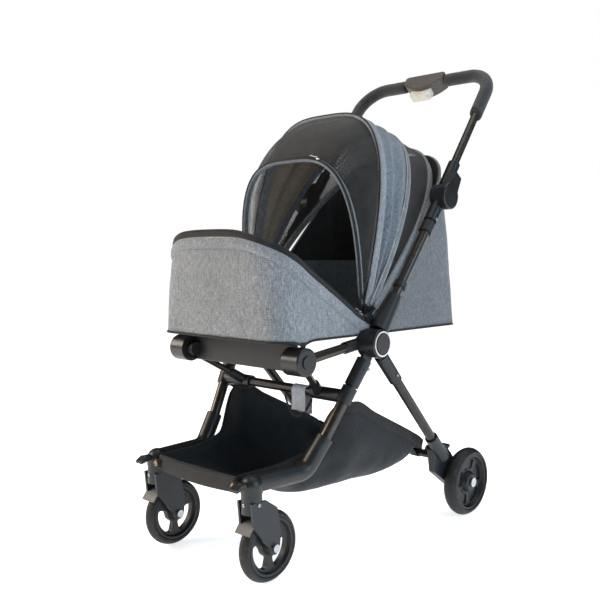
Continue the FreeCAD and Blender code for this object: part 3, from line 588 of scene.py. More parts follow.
RIM_BAND = 32.0  # depth of the padded band below the rim
LINING_TOP = 612.0  # where the rear wall's lining changes from heather to mesh
ZIP_TAPE_SECTION = [  # (outward, up) round the tape that caps the rim
    (3.2, -9.5), (4.0, -5.0), (3.2, 0.6), (0.6, 2.9), (-4.0, 2.9), (-6.6, 0.6), (-6.9, -8.0),
    (-5.4, -8.0), (-4.6, -1.0), (1.0, -1.0), (1.8, -9.5)]


def front_profile():
    """The front wall from its hem up over the rim and down inside."""
    rows = [(k / 18, -RIM_BAND * k / 18, 0.4, 0) for k in range(19)]
    rows[-1] = (1.0, -RIM_BAND, -1.6, 0)
    for k in range(1, 11):
        t = k / 10
        rows.append((1.0, -RIM_BAND + (RIM_BAND - 5) * t, -1.4 + 6.2 * math.sin(math.pi * t) ** 0.55, 1))
    rows += [(1.0, -2.2, -0.6, 1), (1.0, -0.4, -2.6, 1), (1.0, -2.2, -4.8, 2)]
    for k in range(1, 13):
        t = k / 12
        rows.append((1 - t, -4 + 5.5 * t, -5.4 - 1.2 * math.sin(math.pi * t), 2))
    return rows


def rim_path(walk, out, drop):
    return [cabin_point(s, rim_height(s) - drop, out) for s in walk]


def outward(walk, top_of):
    normals = []
    for s in walk:
        z = top_of(s)
        normals.append(cabin_point(s, z, 10) - cabin_point(s, z, 0))
    return normals


def stitches(name, path, normals, finish, length=3.2, gap=1.9, thick=0.75, every=1.0):
    """A run of short threads lying along a seam."""
    points = [Vector(p) for p in path]
    verts, faces = [], []
    at = 0.0
    lengths = [0.0]
    for a, b in zip(points, points[1:]):
        lengths.append(lengths[-1] + (b - a).length)
    while at + length < lengths[-1]:
        i = max(0, int(np.searchsorted(lengths, at)) - 1)
        t = (at - lengths[i]) / max(1e-6, lengths[i + 1] - lengths[i])
        p = points[i].lerp(points[i + 1], t)
        along = (points[i + 1] - points[i]).normalized()
        n = (Vector(normals[i]) - along * Vector(normals[i]).dot(along)).normalized()
        side = along.cross(n)
        first = len(verts)
        for k, (s, w) in enumerate(((0.0, 0.45), (0.5, 1.0), (1.0, 0.45))):
            for a, b in ((0, 1), (1, 0.1), (0, -1), (-1, 0)):
                swell = side * (b * thick * w / 2) + n * (a * thick * w * 0.45)
                verts.append(p + along * (length * s) + swell)
        for k in range(2):
            for q in range(4):
                here, next_one = first + k * 4 + q, first + k * 4 + (q + 1) % 4
                faces.append((here, next_one, next_one + 4, here + 4))
        faces += [(first + 3, first + 2, first + 1, first), tuple(first + 8 + q for q in range(4))]
        at += (length + gap) * every
    return make_piece(name, verts, faces, [finish])


class STROLLER_OT_front_bucket(bpy.types.Operator):
    """Front half of the cabin: padded walls, swollen rim, zip, piping and seams"""
    bl_idname = "stroller.front_bucket"
    bl_label = "Front bucket"

    def execute(self, context):
        sizes = context.scene.stroller_cloth
        walk = cabin_walk(-1, 40, 20, 30)
        swell = cloth_pucker(sizes.billow / MM)
        wall = tub_wall("front_bucket_wall", walk, rim_height, front_profile(),
                        ["heather_light", "heather_light", "lining_heather"], swell)
        give(wall, "frame", ["front_bucket"])
        normals = outward(walk, rim_height)
        trim = [
            swept_piece("rim_zip_tape", rim_path(walk, 0, 0), ZIP_TAPE_SECTION, "zip_tape", normals=normals),
            swept_piece("rim_zip_coil", rim_path(walk, 1.2, -3.2), ring(1.7, 8), "zip_coil"),
            swept_piece("rim_lining_edge", rim_path(walk, 3.4, 11.4), ring(1.15, 8), "pale_cord"),
            swept_piece("bucket_front_piping", self.hem(walk), ring(2.3, 10), "black_cord"),
            stitches("rim_seam_upper", rim_path(walk, 0.6, RIM_BAND - 3.2), normals, "grey_thread"),
            stitches("rim_seam_lower", rim_path(walk, 1.8, RIM_BAND + 3.0), normals, "grey_thread"),
        ]
        for piece in trim:
            give(piece, "frame")
        self.corner_tabs()
        return {"FINISHED"}

    def hem(self, walk):
        points = []
        for s in walk:
            p = cabin_point(s, FLOOR_Z + 0.8, 1.2)
            points.append(p - Vector((0, 0, hem_dip(p))))
        return points

    def corner_tabs(self):
        """Webbing tabs that hold the hem down on the two front knuckles."""
        for side, label in SIDES:
            path = [(side * x, KNUCKLE_Y, z) for x, z in ((184.6, 459), (184, 453), (182, 449), (176, 447.5))]
            normals = [(side, 0, 0.15)] * len(path)
            tab = swept_piece("hem_tab_" + label, path, pill(15, 1.8), "webbing", normals=normals)
            give(tab, "frame")


class STROLLER_OT_rear_bucket(bpy.types.Operator):
    """Rear half of the cabin, under the rearmost rib"""
    bl_idname = "stroller.rear_bucket"
    bl_label = "Rear bucket"

    def execute(self, context):
        sizes = context.scene.stroller_cloth
        walk = cabin_walk(1, 30, 16, 30)
        rows = [(k / 26, 0.0, 0.3, 0) for k in range(26)]
        rows += [(1.0, -4.0, 0.2, 0), (1.0, -1.0, -1.0, 0), (1.0, -0.2, -2.6, 0), (1.0, -1.4, -4.6, 2)]
        rows += [(1 - k / 8, -1.4 * (1 - k / 8), -5.3, 2) for k in range(1, 8)]
        rows += [(1 - k / 12, 1.5 * k / 12, -5.3, 1) for k in range(13)]
        # The rear wall's outside is the cabin melange darkened to 0.62 of its brightness: painted shade, not
        # a different cloth.
        cloths = ["heather_painted_shade", "lining_heather", "lining_mesh"]
        pucker = self.pucker(sizes.billow / MM)
        wall = tub_wall("rear_bucket_wall", walk, rear_edge_height, rows, cloths, pucker, LINING_TOP)
        give(wall, "frame", ["rear_bucket"])
        hem = [cabin_point(s, FLOOR_Z + 0.8, 1.2) for s in walk]
        edge = [cabin_point(s, rear_edge_height(s) - 2.0, 0.8) for s in walk]
        pieces = [swept_piece("bucket_rear_piping", hem, ring(2.3, 10), "black_cord"),
                  swept_piece("bucket_rear_edge", edge, ring(1.9, 8), "pale_cord")]
        for side, label in SIDES:
            seam = [s for s in walk if s[1] == "corner" and s[2] == side]
            station = seam[len(seam) // 2]
            top = rear_edge_height(station)
            line = [cabin_point(station, FLOOR_Z + 4 + (top - FLOOR_Z - 14) * k / 24, 1.3) for k in range(25)]
            out = cabin_point(station, 600, 5) - cabin_point(station, 600)
            # The corner seams use the same darkened melange as the rear wall: painted shade.
            pieces.append(swept_piece("rear_corner_seam_" + label, line, pill(5.0, 1.6), "heather_painted_shade",
                                      normals=[out] * 25))
            thread = [p + out * 0.16 for p in line]
            pieces.append(stitches("rear_corner_thread_" + label, thread, [out] * 25, "grey_thread"))
        for piece in pieces:
            give(piece, "frame")
        return {"FINISHED"}

    def pucker(self, depth):
        plain = cloth_pucker(depth)

        def with_crease(station, share, z, base):
            """Adds the fold that runs from the pivot down to the lower rear corner."""
            line = base.y - (120 + (600 - z) * 1.15)
            fold = 3.2 * math.exp(-(line / 26) ** 2) * smoothstep(0.02, 0.25, share)
            return plain(station, share, z, base) + fold * (1 if station[1] == "side" else 0.4)
        return with_crease


class STROLLER_OT_cabin_pad(bpy.types.Operator):
    """Quilted pad on the cabin floor, swollen by a short cloth simulation"""
    bl_idname = "stroller.cabin_pad"
    bl_label = "Cabin pad"

    def execute(self, context):
        low, high = (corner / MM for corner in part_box("cabin_pad"))
        pad = self.blank(low, high)
        self.puff(pad, context.scene.stroller_cloth.pad_swell / MM)
        self.sew(pad, low, high)
        give(pad, "frame", ["cabin_pad"])
        edge = self.outline(low, high, 2.0, 72)
        middle = (low.z + high.z) / 2
        path = [(x, y, middle) for x, y in edge]
        piping = swept_piece("cabin_pad_piping", path, ring(2.2, 8), "black_cord", loop=True)
        give(piping, "frame")
        return {"FINISHED"}

    def outline(self, low, high, out, count):
        points, r = [], 32.0
        half_x, half_y = (high.x - low.x) / 2 + out, (high.y - low.y) / 2 + out
        centre_y = (high.y + low.y) / 2
        for k in range(count):
            a = 2 * math.pi * k / count
            c, s = math.cos(a), math.sin(a)
            reach = 1 / max(abs(c) / (half_x - r), abs(s) / (half_y - r))
            x = max(-half_x + r, min(half_x - r, c * reach))
            y = max(-half_y + r, min(half_y - r, s * reach))
            d = Vector((c * half_y, s * half_x)).normalized()
            points.append((x + d.x * r, centre_y + y + d.y * r))
        return points

    def blank(self, low, high):
        """Soft-edged slab, a little under size, on a square grid that the simulation can work on."""
        bm = bmesh.new()
        columns, rows = 26, 42
        edge = 5.0
        tops = {}
        half_x, half_y = (high.x - low.x) / 2 - edge, (high.y - low.y) / 2 - edge
        centre = (low + high) / 2
        for layer, z in ((0, low.z + 1.0), (1, high.z - 2.0)):
            for i in range(rows + 1):
                for j in range(columns + 1):
                    u, v = 2 * j / columns - 1, 2 * i / rows - 1
                    x, y = self.squared(u, v, half_x, half_y, 30.0)
                    tops[layer, i, j] = bm.verts.new((centre.x + x, centre.y + y, z))
            for i in range(rows):
                for j in range(columns):
                    quad = [tops[layer, i, j], tops[layer, i, j + 1], tops[layer, i + 1, j + 1],
                            tops[layer, i + 1, j]]
                    bm.faces.new(quad if layer else quad[::-1])
        border = ([(0, j) for j in range(columns)] + [(i, columns) for i in range(rows)]
                  + [(rows, j) for j in range(columns, 0, -1)] + [(i, 0) for i in range(rows, 0, -1)])
        for (i, j), (i2, j2) in zip(border, border[1:] + border[:1]):
            bm.faces.new([tops[0, i, j], tops[0, i2, j2], tops[1, i2, j2], tops[1, i, j]])
        for v in bm.verts:
            v.co *= MM
        mesh = bpy.data.meshes.new("cabin_pad_cushion")
        bmesh.ops.recalc_face_normals(bm, faces=bm.faces)
        bm.to_mesh(mesh)
        bm.free()
        mesh.materials.append(material("pad_quilt"))
        pad = bpy.data.objects.new("cabin_pad_cushion", mesh)
        bpy.context.scene.collection.objects.link(pad)
        return pad

    def squared(self, u, v, half_x, half_y, r):
        """Grid point with its corners drawn in to a radius."""
        x, y = u * half_x, v * half_y
        over_x, over_y = abs(x) - (half_x - r), abs(y) - (half_y - r)
        if over_x > 0 and over_y > 0:
            far, reach = max(over_x, over_y), math.hypot(over_x, over_y)
            x = math.copysign(half_x - r + over_x * far / reach, x)
            y = math.copysign(half_y - r + over_y * far / reach, y)
        return x, y

    def puff(self, pad, cap):
        start = [v.co.copy() for v in pad.data.vertices]
        cloth = pad.modifiers.new("Cloth", "CLOTH")
        cloth.settings.use_pressure = True
        cloth.settings.uniform_pressure_force = 4.0
        cloth.settings.effector_weights.gravity = 0.0
        cloth.settings.quality = 4
        cloth.point_cache.frame_end = 16
        for frame in range(1, 17):
            bpy.context.scene.frame_set(frame)
        swollen = pad.evaluated_get(bpy.context.evaluated_depsgraph_get()).data
        moved = [v.co.copy() for v in swollen.vertices]
        pad.modifiers.remove(cloth)
        bpy.context.scene.frame_set(1)
        for vertex, at, now in zip(pad.data.vertices, start, moved):
            shift = now - at
            limit = cap * MM
            vertex.co = at + (shift if shift.length <= limit else shift.normalized() * limit)

    def sew(self, pad, low, high):
        """Presses sewn channels into the top, keeps the underside flat, and smooths the rest."""
        floor, top = low.z * MM, high.z * MM
        for vertex in pad.data.vertices:
            x, y = vertex.co.x / MM, vertex.co.y / MM
            if vertex.co.z > (floor + top) / 2:
                channel = min(abs((y - 15 + 54) % 108 - 54), abs(abs(x) - 60))
                vertex.co.z -= 2.6 * MM * math.exp(-(channel / 7.0) ** 2)
                vertex.co.z += 0.8 * MM * ripple(x, y, 0, 60)
                vertex.co.z = min(vertex.co.z, top + 2.5 * MM)
            else:
                vertex.co.z = max(vertex.co.z, floor + 0.2 * MM)
        finish_with(pad, "SUBSURF", levels=2, render_levels=2)
        layer = pad.data.uv_layers.new(name="UVMap")
        for loop in pad.data.loops:
            co = pad.data.vertices[loop.vertex_index].co
            layer.data[loop.index].uv = (co.x, co.y + co.z)
        for polygon in pad.data.polygons:
            polygon.use_smooth = True


# ---- canopy: ribs, their sleeves and the cloth between ---------------------------------
def rib_values(share, lower, upper):
    """The values of an arch a share of the way from one rib to the next."""
    return [a + (b - a) * share for a, b in zip(RIBS[lower], RIBS[upper])]


def arch_line(values, start, count, inset=0.0):
    """(x, distance from the pivot, outward x, outward distance) along an arch, left to right."""
    _, length, width, square, foot = values
    first = math.asin((start / length) ** (square / 2))
    turn = np.linspace(first, math.pi - first, 801)
    d = length * np.sin(turn) ** (2 / square)
    bow = (width - foot) * np.clip(1 - (d - RIB_FOOT) / (length - RIB_FOOT), 0, 1) ** 2
    x = np.sign(np.cos(turn)) * np.abs(np.cos(turn)) ** (2 / square) * (width - bow)
    run = np.concatenate([[0], np.cumsum(np.hypot(np.diff(x), np.diff(d)))])
    at = np.linspace(0, run[-1], count + 1)
    x, d = np.interp(at, run, x), np.interp(at, run, d)
    dx, dd = np.gradient(x), np.gradient(d)
    size = np.hypot(dx, dd)
    nx, nd = dd / size, -dx / size
    return [tuple(map(float, row)) for row in zip(x - nx * inset, d - nd * inset, nx, nd)]


def in_rib_plane(angle, x, distance):
    a = math.radians(angle)
    return Vector((x, PIVOT[0] + distance * math.cos(a), PIVOT[1] + distance * math.sin(a)))


def rib_line(name, start, count, inset=0.0, forward=0.0):
    """Points and outward normals along a rib; forward moves them off its plane, in mm."""
    values = RIBS[name]
    angle = values[0]
    a = math.radians(angle)
    ahead = Vector((0, -math.sin(a), math.cos(a))) * forward
    points, normals = [], []
    for x, d, nx, nd in arch_line(values, start, count, inset):
        points.append(in_rib_plane(angle, x, d) + ahead)
        normals.append(Vector((nx, nd * math.cos(a), nd * math.sin(a))))
    return points, normals


class STROLLER_OT_rib_sleeves(bpy.types.Operator):
    """Cloth sleeves and piping on the four canopy ribs"""
    bl_idname = "stroller.rib_sleeves"
    bl_label = "Rib sleeves"

    def execute(self, context):
        bodies = {"rear": "frame", "mid": "mid_canopy", "front": "front_canopy", "door": "canopy_door"}
        looks = {  # sleeve width, finish, piping offsets and finish
            "rear": (15.0, "heather_light", (-7.0,), "pale_cord"),
            "mid": (14.0, "heather_top", (-6.4, 6.4), "pale_cord"),
            "front": (23.0, "heather_light", (11.0,), "black_cord"),
            "door": (12.5, "heather_top", (-6.0, 6.0), "black_cord"),
        }
        for name, body in bodies.items():
            width, finish, cords, cord_finish = looks[name]
            pieces = [self.sleeve(name, width, finish)]
            for k, forward in enumerate(cords):
                points, _ = rib_line(name, 30, 110, inset=-1.2, forward=forward)
                pieces.append(swept_piece(f"rib_{name}_piping_{k}", points, ring(1.7, 8), cord_finish))
            points, normals = rib_line(name, 44, 130, inset=-2.7, forward=width / 2 - 3.4)
            pieces.append(stitches(f"rib_{name}_stitches", points, normals, "grey_thread"))
            for piece in pieces:
                give(piece, body)
        return {"FINISHED"}

    def sleeve(self, name, width, finish):
        """Flat tube of cloth round the rib, slightly slack, with tapered open ends."""
        points, normals = rib_line(name, 30, 150, inset=1.4)
        sizes, path = [], []
        count = len(points)
        for k, (p, n) in enumerate(zip(points, normals)):
            end = min(k, count - 1 - k) / 6
            sizes.append(0.62 + 0.38 * smoothstep(0, 1, end))
            path.append(p + n * (0.5 * ripple(p.x, p.y, p.z, 22)))
        half = width / 2
        section = [(3.6, -half * 0.86), (2.6, -half), (-2.4, -half), (-4.6, -half * 0.8), (-5.2, 0),
                   (-4.6, half * 0.8), (-2.4, half), (2.6, half), (3.6, half * 0.86), (4.2, 0)]
        return swept_piece(f"rib_{name}_sleeve", path, section, finish, normals=normals, sizes=sizes)


def canopy_cloth(name, lower, upper, finishes, rows, columns, shape, thickness=1.0, start=26, finish_of=None,
                 lined=0):
    """Sheet between two ribs; shape(s, t) gives how far it stands out of the arch, in mm."""
    verts, corners, weights = [], [], []
    for i in range(rows + 1):
        t = i / rows
        values = rib_values(t, lower, upper)
        line = arch_line(values, start, columns)
        run = 0.0
        for j, (x, d, nx, nd) in enumerate(line):
            s = j / (len(line) - 1)
            out = shape(s, t)
            if j:
                run += math.hypot(x - line[j - 1][0], d - line[j - 1][1])
            verts.append(in_rib_plane(values[0], x + nx * out, d + nd * out))
            corners.append((run, math.radians(values[0]) * CLOTH_RADIUS))
            weights.append(t)
    faces = grid_faces(rows + 1, len(line))
    across = len(line) - 1
    indices = [finish_of(k % across, k // across) for k in range(len(faces))] if finish_of else None
    sheet = make_piece(name, verts, faces, finishes, corners, indices, closed=False)
    finish_with(sheet, "SOLIDIFY", thickness=thickness * MM, offset=0.0, material_offset=lined)
    return sheet


def hang_between(sheet):
    """Bakes the sheet's transform into its mesh."""
    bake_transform(sheet)


def taper(s, ends=0.05):
    return smoothstep(0.0, ends, s) * smoothstep(0.0, ends, 1 - s)


class STROLLER_OT_canopy_cloth(bpy.types.Operator):
    """The three stretches of canopy: rear mesh, gathered top and the mesh door"""
    bl_idname = "stroller.canopy_cloth"
    bl_label = "Canopy cloth"

    def execute(self, context):
        rear = canopy_cloth("canopy_rear_mesh", "rear", "mid", ["net_dark"], 14, 120, self.rear_shape, 0.9)
        hang_between(rear)
        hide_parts("rear_panel")
        top = canopy_cloth("canopy_top_cloth", "mid", "front", ["heather_top", "lining_beige"], 40, 150,
                           self.top_shape, 1.3, lined=1)
        hang_between(top)
        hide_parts("top_panel")
        door = canopy_cloth("canopy_door_mesh", "front", "door", ["net_dark", "binding_black"], 30, 130,
                            self.door_shape, 0.9, finish_of=lambda j, i: int(i in (0, 29)))
        hang_between(door)
        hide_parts("door_panel")
        return {"FINISHED"}

    def rear_shape(self, s, t):
        slack = math.sin(math.pi * t)
        return -6.0 * slack * taper(s) + 1.2 * ripple(s * 900, t * 60, 0, 70) * slack

    def top_shape(self, s, t):
        """Cloth gathered between its ribs: deep soft folds that run with them."""
        slack = math.sin(math.pi * t) ** 0.8
        drift = 0.55 * ripple(s * 1000, 0, 50, 210) + 0.22 * ripple(s * 1000, t * 40, 9, 80)
        fold = math.sin(2 * math.pi * (2.6 * t + drift))
        fine = ripple(s * 900, t * 170, 4, 26)
        return (-7.0 * slack + 5.2 * fold * slack + 1.3 * fine * slack) * taper(s, 0.09) + 0.4 * fine

    def door_shape(self, s, t):
        slack = math.sin(math.pi * t)
        return (5.0 * slack + 2.6 * ripple(s * 800, t * 140, 2, 75) * slack) * taper(s, 0.08)


class STROLLER_OT_door_zip(bpy.types.Operator):
    """Zip with its slider and cord pull along the door's rib"""
    bl_idname = "stroller.door_zip"
    bl_label = "Door zip"

    def execute(self, context):
        points, normals = rib_line("door", 40, 140, inset=-2.4, forward=3.2)
        coil = swept_piece("door_zip_coil", points, ring(1.5, 8), "zip_coil")
        tape = swept_piece("door_zip_tape", [p - n * 0.6 for p, n in zip(points, normals)], pill(8.5, 1.2),
                           "zip_tape", normals=normals)
        for piece in (coil, tape):
            give(piece, "canopy_door")
        at = len(points) * 2 // 5
        self.slider("door_zip_slider", points[at], normals[at], points[at + 1] - points[at], "canopy_door")
        walk = cabin_walk(-1, 40, 20, 30)
        path = rim_path(walk, 1.2, -3.2)
        self.slider("rim_zip_slider", path[4], Vector((0, 0, 1)), path[5] - path[4], "frame")
        return {"FINISHED"}

    def slider(self, name, point, normal, along, body):
        """Cast slider body and a tear-shaped pull, modelled flat and then laid in place."""
        bpy.ops.object.select_all(action="DESELECT")
        bpy.ops.mesh.primitive_cube_add(size=1, location=(0, 0, 0))
        slider = bpy.context.object
        slider.scale = (0.0082, 0.0055, 0.0032)
        bpy.ops.object.transform_apply(location=False, rotation=False, scale=True)
        edit_all()
        bpy.ops.mesh.bevel(offset=0.0012, segments=2, affect="EDGES")
        bpy.ops.object.mode_set(mode="OBJECT")
        bpy.ops.mesh.primitive_torus_add(major_radius=0.0032, minor_radius=0.0007, major_segments=20,
                                         minor_segments=8, location=(0.0062, 0, 0.0030))
        link = bpy.context.object
        bpy.ops.mesh.primitive_cylinder_add(vertices=24, radius=0.0026, depth=0.0011,
                                            location=(0.0165, 0, 0.0030))
        pull = bpy.context.object
        edit_all()
        bpy.ops.transform.resize(value=(2.9, 1.0, 1.0))
        bpy.ops.mesh.bevel(offset=0.0004, segments=2, affect="EDGES")
        bpy.ops.object.mode_set(mode="OBJECT")
        whole = joined(name, [slider, link, pull])
        x = along.normalized()
        z = (normal - x * normal.dot(x)).normalized()
        turn = Matrix((x, z.cross(x), z)).transposed().to_4x4()
        whole.data.transform(Matrix.Translation((Vector(point) + z * 1.6) * MM) @ turn
                             @ Matrix.Translation(-whole.matrix_world.translation) @ whole.matrix_world)
        whole.matrix_world = Matrix.Identity(4)
        turn_out(whole.data)
        whole.data.materials.clear()
        whole.data.materials.append(material("satin_steel"))
        bpy.context.view_layer.update()
        give(whole, body)


# ---- basket ----------------------------------------------------------------------------
class STROLLER_OT_basket(bpy.types.Operator):
    """Sagging cloth trough with bound hems, a rear sleeve, side straps and a folded label"""
    bl_idname = "stroller.basket"
    bl_label = "Basket"

    def execute(self, context):
        shell = self.trough()
        self.follow_rear(shell)
        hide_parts("basket")
        for side, label in SIDES:
            hem = self.hem_line(side)
            band = swept_piece("basket_hem_" + label, hem, pill(20, 3.4, 6), "basket_binding",
                               normals=[(side, 0, 0.12)] * len(hem))
            cord = swept_piece("basket_cord_" + label, [p + Vector((0, 0, 9.6)) for p in hem], ring(2.1, 8),
                               "black_cord")
            thread = [p + Vector((side * 1.8, 0, -7.2)) for p in hem]
            sewn = stitches("basket_thread_" + label, thread, [(side, 0, 0)] * len(hem), "grey_thread")
            for piece in (band, cord, sewn):
                self.follow_rear(piece)
        self.front_band()
        self.rear_sleeve()
        self.straps()
        self.label()
        return {"FINISHED"}

    def hem_line(self, side):
        line = []
        for k in range(71):
            y = -350 + (BASKET_REAR + 350) * k / 70
            half = along_line(BASKET_PLAN, y)
            line.append(Vector((side * (half + 0.3), y, along_line(BASKET_TOP, y) - 9.5)))
        return line

    def follow_rear(self, piece):
        """Bakes the piece's transform into its mesh."""
        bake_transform(piece)

    def trough(self):
        verts, corners = [], []
        columns, rows = 76, 84
        for i in range(rows + 1):
            y = -352 + (BASKET_REAR + 352) * i / rows
            top, bottom = along_line(BASKET_TOP, y), along_line(BASKET_BOTTOM, y)
            half = along_line(BASKET_PLAN, y)
            depth = top - bottom
            depth *= 1 - 0.9 * (1 - smoothstep(-352, -300, y)) - 0.75 * smoothstep(140, BASKET_REAR, y)
            around = 0.0
            last = None
            for j in range(columns + 1):
                q = 2 * j / columns - 1
                a = q * math.pi / 2
                x = half * math.copysign(abs(math.sin(a)) ** 0.62, a)
                z = top - depth * abs(math.cos(a)) ** 0.55
                p = Vector((x, y, z))
                inner = Vector((-x / half * 0.8, 0, abs(math.cos(a)))).normalized()
                slack = min(1.0, depth / 60) * smoothstep(0, 0.16, 1 - abs(q))
                drag = ripple(x * 0.7 + y * 0.5, y * 0.35 - z * 0.8, 5, 42)
                broad = ripple(x, y * 0.8, z, 120)
                fine = ripple(x, y, z + 70, 30)
                p += inner * slack * (7.0 * broad + 3.6 * drag + 1.2 * fine - 1.0)
                if last is not None:
                    around += (p - last).length
                last = p
                verts.append(p)
                corners.append((around, y))
        faces = grid_faces(rows + 1, columns + 1)
        shell = make_piece("basket_cloth", verts, faces, ["basket_cloth"], corners, closed=False)
        finish_with(shell, "SOLIDIFY", thickness=1.4 * MM, offset=0.0)
        return shell

    def front_band(self):
        """Broad hem between the two caster arms, with its stitching."""
        path = []
        for k in range(41):
            x = 119 - 238 * k / 40
            bow = math.sin(math.pi * k / 40)
            path.append(Vector((x, -353 - 2.2 * bow, 195 - 5 * bow)))
        normals = [(0, -1, 0.08)] * len(path)
        band = swept_piece("basket_front_band", path, pill(31, 4.4, 6), "basket_binding", normals=normals)
        pieces = [band]
        for row, height in enumerate((10, -10)):
            thread = [p + Vector((0, -2.3, height)) for p in path]
            pieces.append(stitches(f"basket_front_thread_{row}", thread, normals, "grey_thread"))
        for piece in pieces:
            give(piece, "frame")
        for side, label in SIDES:
            self.snap(side, label)

    def snap(self, side, label):
        """Loop of webbing and a bronze press stud that hold the front hem to the caster arm."""
        path = [(side * x, y, z) for x, y, z in
                ((110, -357, 194), (118, -359.5, 194), (126, -358, 194.5), (131, -353, 196))]
        loop = swept_piece("basket_snap_web_" + label, path, pill(17, 2.0), "webbing",
                           normals=[(0, -1, 0)] * len(path))
        give(loop, "frame")
        bpy.ops.object.select_all(action="DESELECT")
        bpy.ops.mesh.primitive_cylinder_add(vertices=28, radius=0.0062, depth=0.003,
                                            rotation=(math.radians(90), 0, 0),
                                            location=(side * 0.119, -0.3622, 0.194))
        stud = bpy.context.object
        edit_faces(stud, lambda face: len(face.vertices) > 8 and face.normal.z > 0.5)
        bpy.ops.mesh.inset(thickness=0.0016, depth=0.0006)
        bpy.ops.mesh.inset(thickness=0.0012, depth=-0.0009)
        bpy.ops.object.mode_set(mode="OBJECT")
        settle(stud, "basket_stud_" + label, "bronze_stud", bevel=0.0003)
        give(stud, "frame")

    def rear_sleeve(self):
        """Bound rear hem, and webbing loops that tie it to the rear cross tube."""
        path = [Vector((-164 + 328 * k / 48, BASKET_REAR - 0.5, 179.5 + 1.5 * ripple(k * 9, 0, 0, 60)))
                for k in range(49)]
        normals = [(0, 0.9, 0.4)] * len(path)
        hem = swept_piece("basket_rear_hem", path, pill(22, 3.2, 5), "basket_binding", normals=normals)
        thread = [p + Vector((0, 1.9, -6.5)) for p in path]
        sewn = stitches("basket_rear_thread", thread, normals, "grey_thread")
        for piece in (hem, sewn):
            give(piece, "rear_frame")
        around = (  # (y, z, and the way the strap faces there) once round the cross tube
            (186, 181, 0.3, 1), (204, 170, 0.5, 1), (218, 161.6, 0.2, 1), (226, 160.9, 0.2, 1),
            (233.5, 156.8, 1, 0.7), (236.2, 150, 1, 0), (233.5, 143.4, 1, -0.7), (226, 139.4, 0.2, -1),
            (216, 142.6, -0.5, -1), (203, 158, -0.7, -0.7), (188, 172, -0.6, -1))
        facing = [(0, out_y, out_z) for _, _, out_y, out_z in around]
        for x in (-128, 0, 128):
            loop = swept_piece(f"basket_tie_{128 + x}", [(x, y, z) for y, z, _, _ in around], pill(19, 1.6),
                               "webbing", normals=facing)
            give(loop, "rear_frame")

    def straps(self):
        """Webbing from the basket's highest corners round the leg clamps, and the hanging pull loop."""
        for side, label in SIDES:
            path = [(side * x, y, z) for x, y, z in
                    ((166, -92, 300), (169, -92, 314), (172, -96, 323), (178, -103, 327))]
            strap = swept_piece("basket_strap_" + label, path, pill(20, 1.8), "webbing",
                                normals=[(side, 0, 0.3)] * len(path))
            give(strap, "frame")
        path, normals = [], []
        for k in range(33):
            t = k / 32
            x, z = 96 - 78 * t, 323 - 42 * math.sin(math.pi * t) ** 0.8
            path.append(Vector((x, -120 - 4 * math.sin(math.pi * t), z)))
            normals.append((0, -1, 0))
        loop = swept_piece("pull_loop", path, pill(5.5, 1.5), "webbing", normals=normals)
        give(loop, "frame")

    def label(self):
        """Plain folded cloth label hung over the front crossbar."""
        points = []
        for k in range(23):
            t = k / 22
            if t < 0.4:
                points.append((-124.6 + 1.5 * math.sin(t * 9), 338 - 44 * (0.4 - t) / 0.4))
            elif t < 0.6:
                a = math.pi * (0.6 - t) / 0.2
                points.append((-113 + 11.4 * math.cos(a), 338 + 11.4 * math.sin(a)))
            else:
                points.append((-101.4 - 1.5 * math.sin(t * 8), 338 - 52 * (t - 0.6) / 0.4))
        verts, corners = [], []
        for i, (y, z) in enumerate(points):
            for j in range(13):
                x = 42 + 40 * j / 12
                verts.append((x, y + 1.2 * ripple(x, y, z, 18), z))
                corners.append((x, i * 5.6))
        tag = make_piece("hanging_label", verts, grid_faces(23, 13), ["label_cloth"], corners, closed=False)
        finish_with(tag, "SOLIDIFY", thickness=0.6 * MM, offset=0.0)
        give(tag, "frame")


# ---- handle ----------------------------------------------------------------------------
def handle_route(first, last_x):
    """Handle's centreline from a distance up one leg round the corner to an x, with plane axes."""
    a = math.radians(HANDLE_ANGLE)
    up = Vector((0, math.cos(a), math.sin(a)))
    foot = Vector((0, *KNUCKLE))
    flat = []
    straight_end = HANDLE_REACH - HANDLE_CORNER
    steps = 22
    for k in range(steps):
        flat.append((HANDLE_HALF, first + (straight_end - first) * k / steps))
    for k in range(26):
        t = math.pi / 2 * k / 26
        flat.append((HANDLE_HALF - HANDLE_CORNER + HANDLE_CORNER * math.cos(t),
                     straight_end + HANDLE_CORNER * math.sin(t)))
    bend_x = HANDLE_HALF - HANDLE_CORNER
    for k in range(19):
        flat.append((bend_x + (last_x - bend_x) * k / 18, HANDLE_REACH))
    return [foot + up * d + Vector((x, 0, 0)) for x, d in flat], up


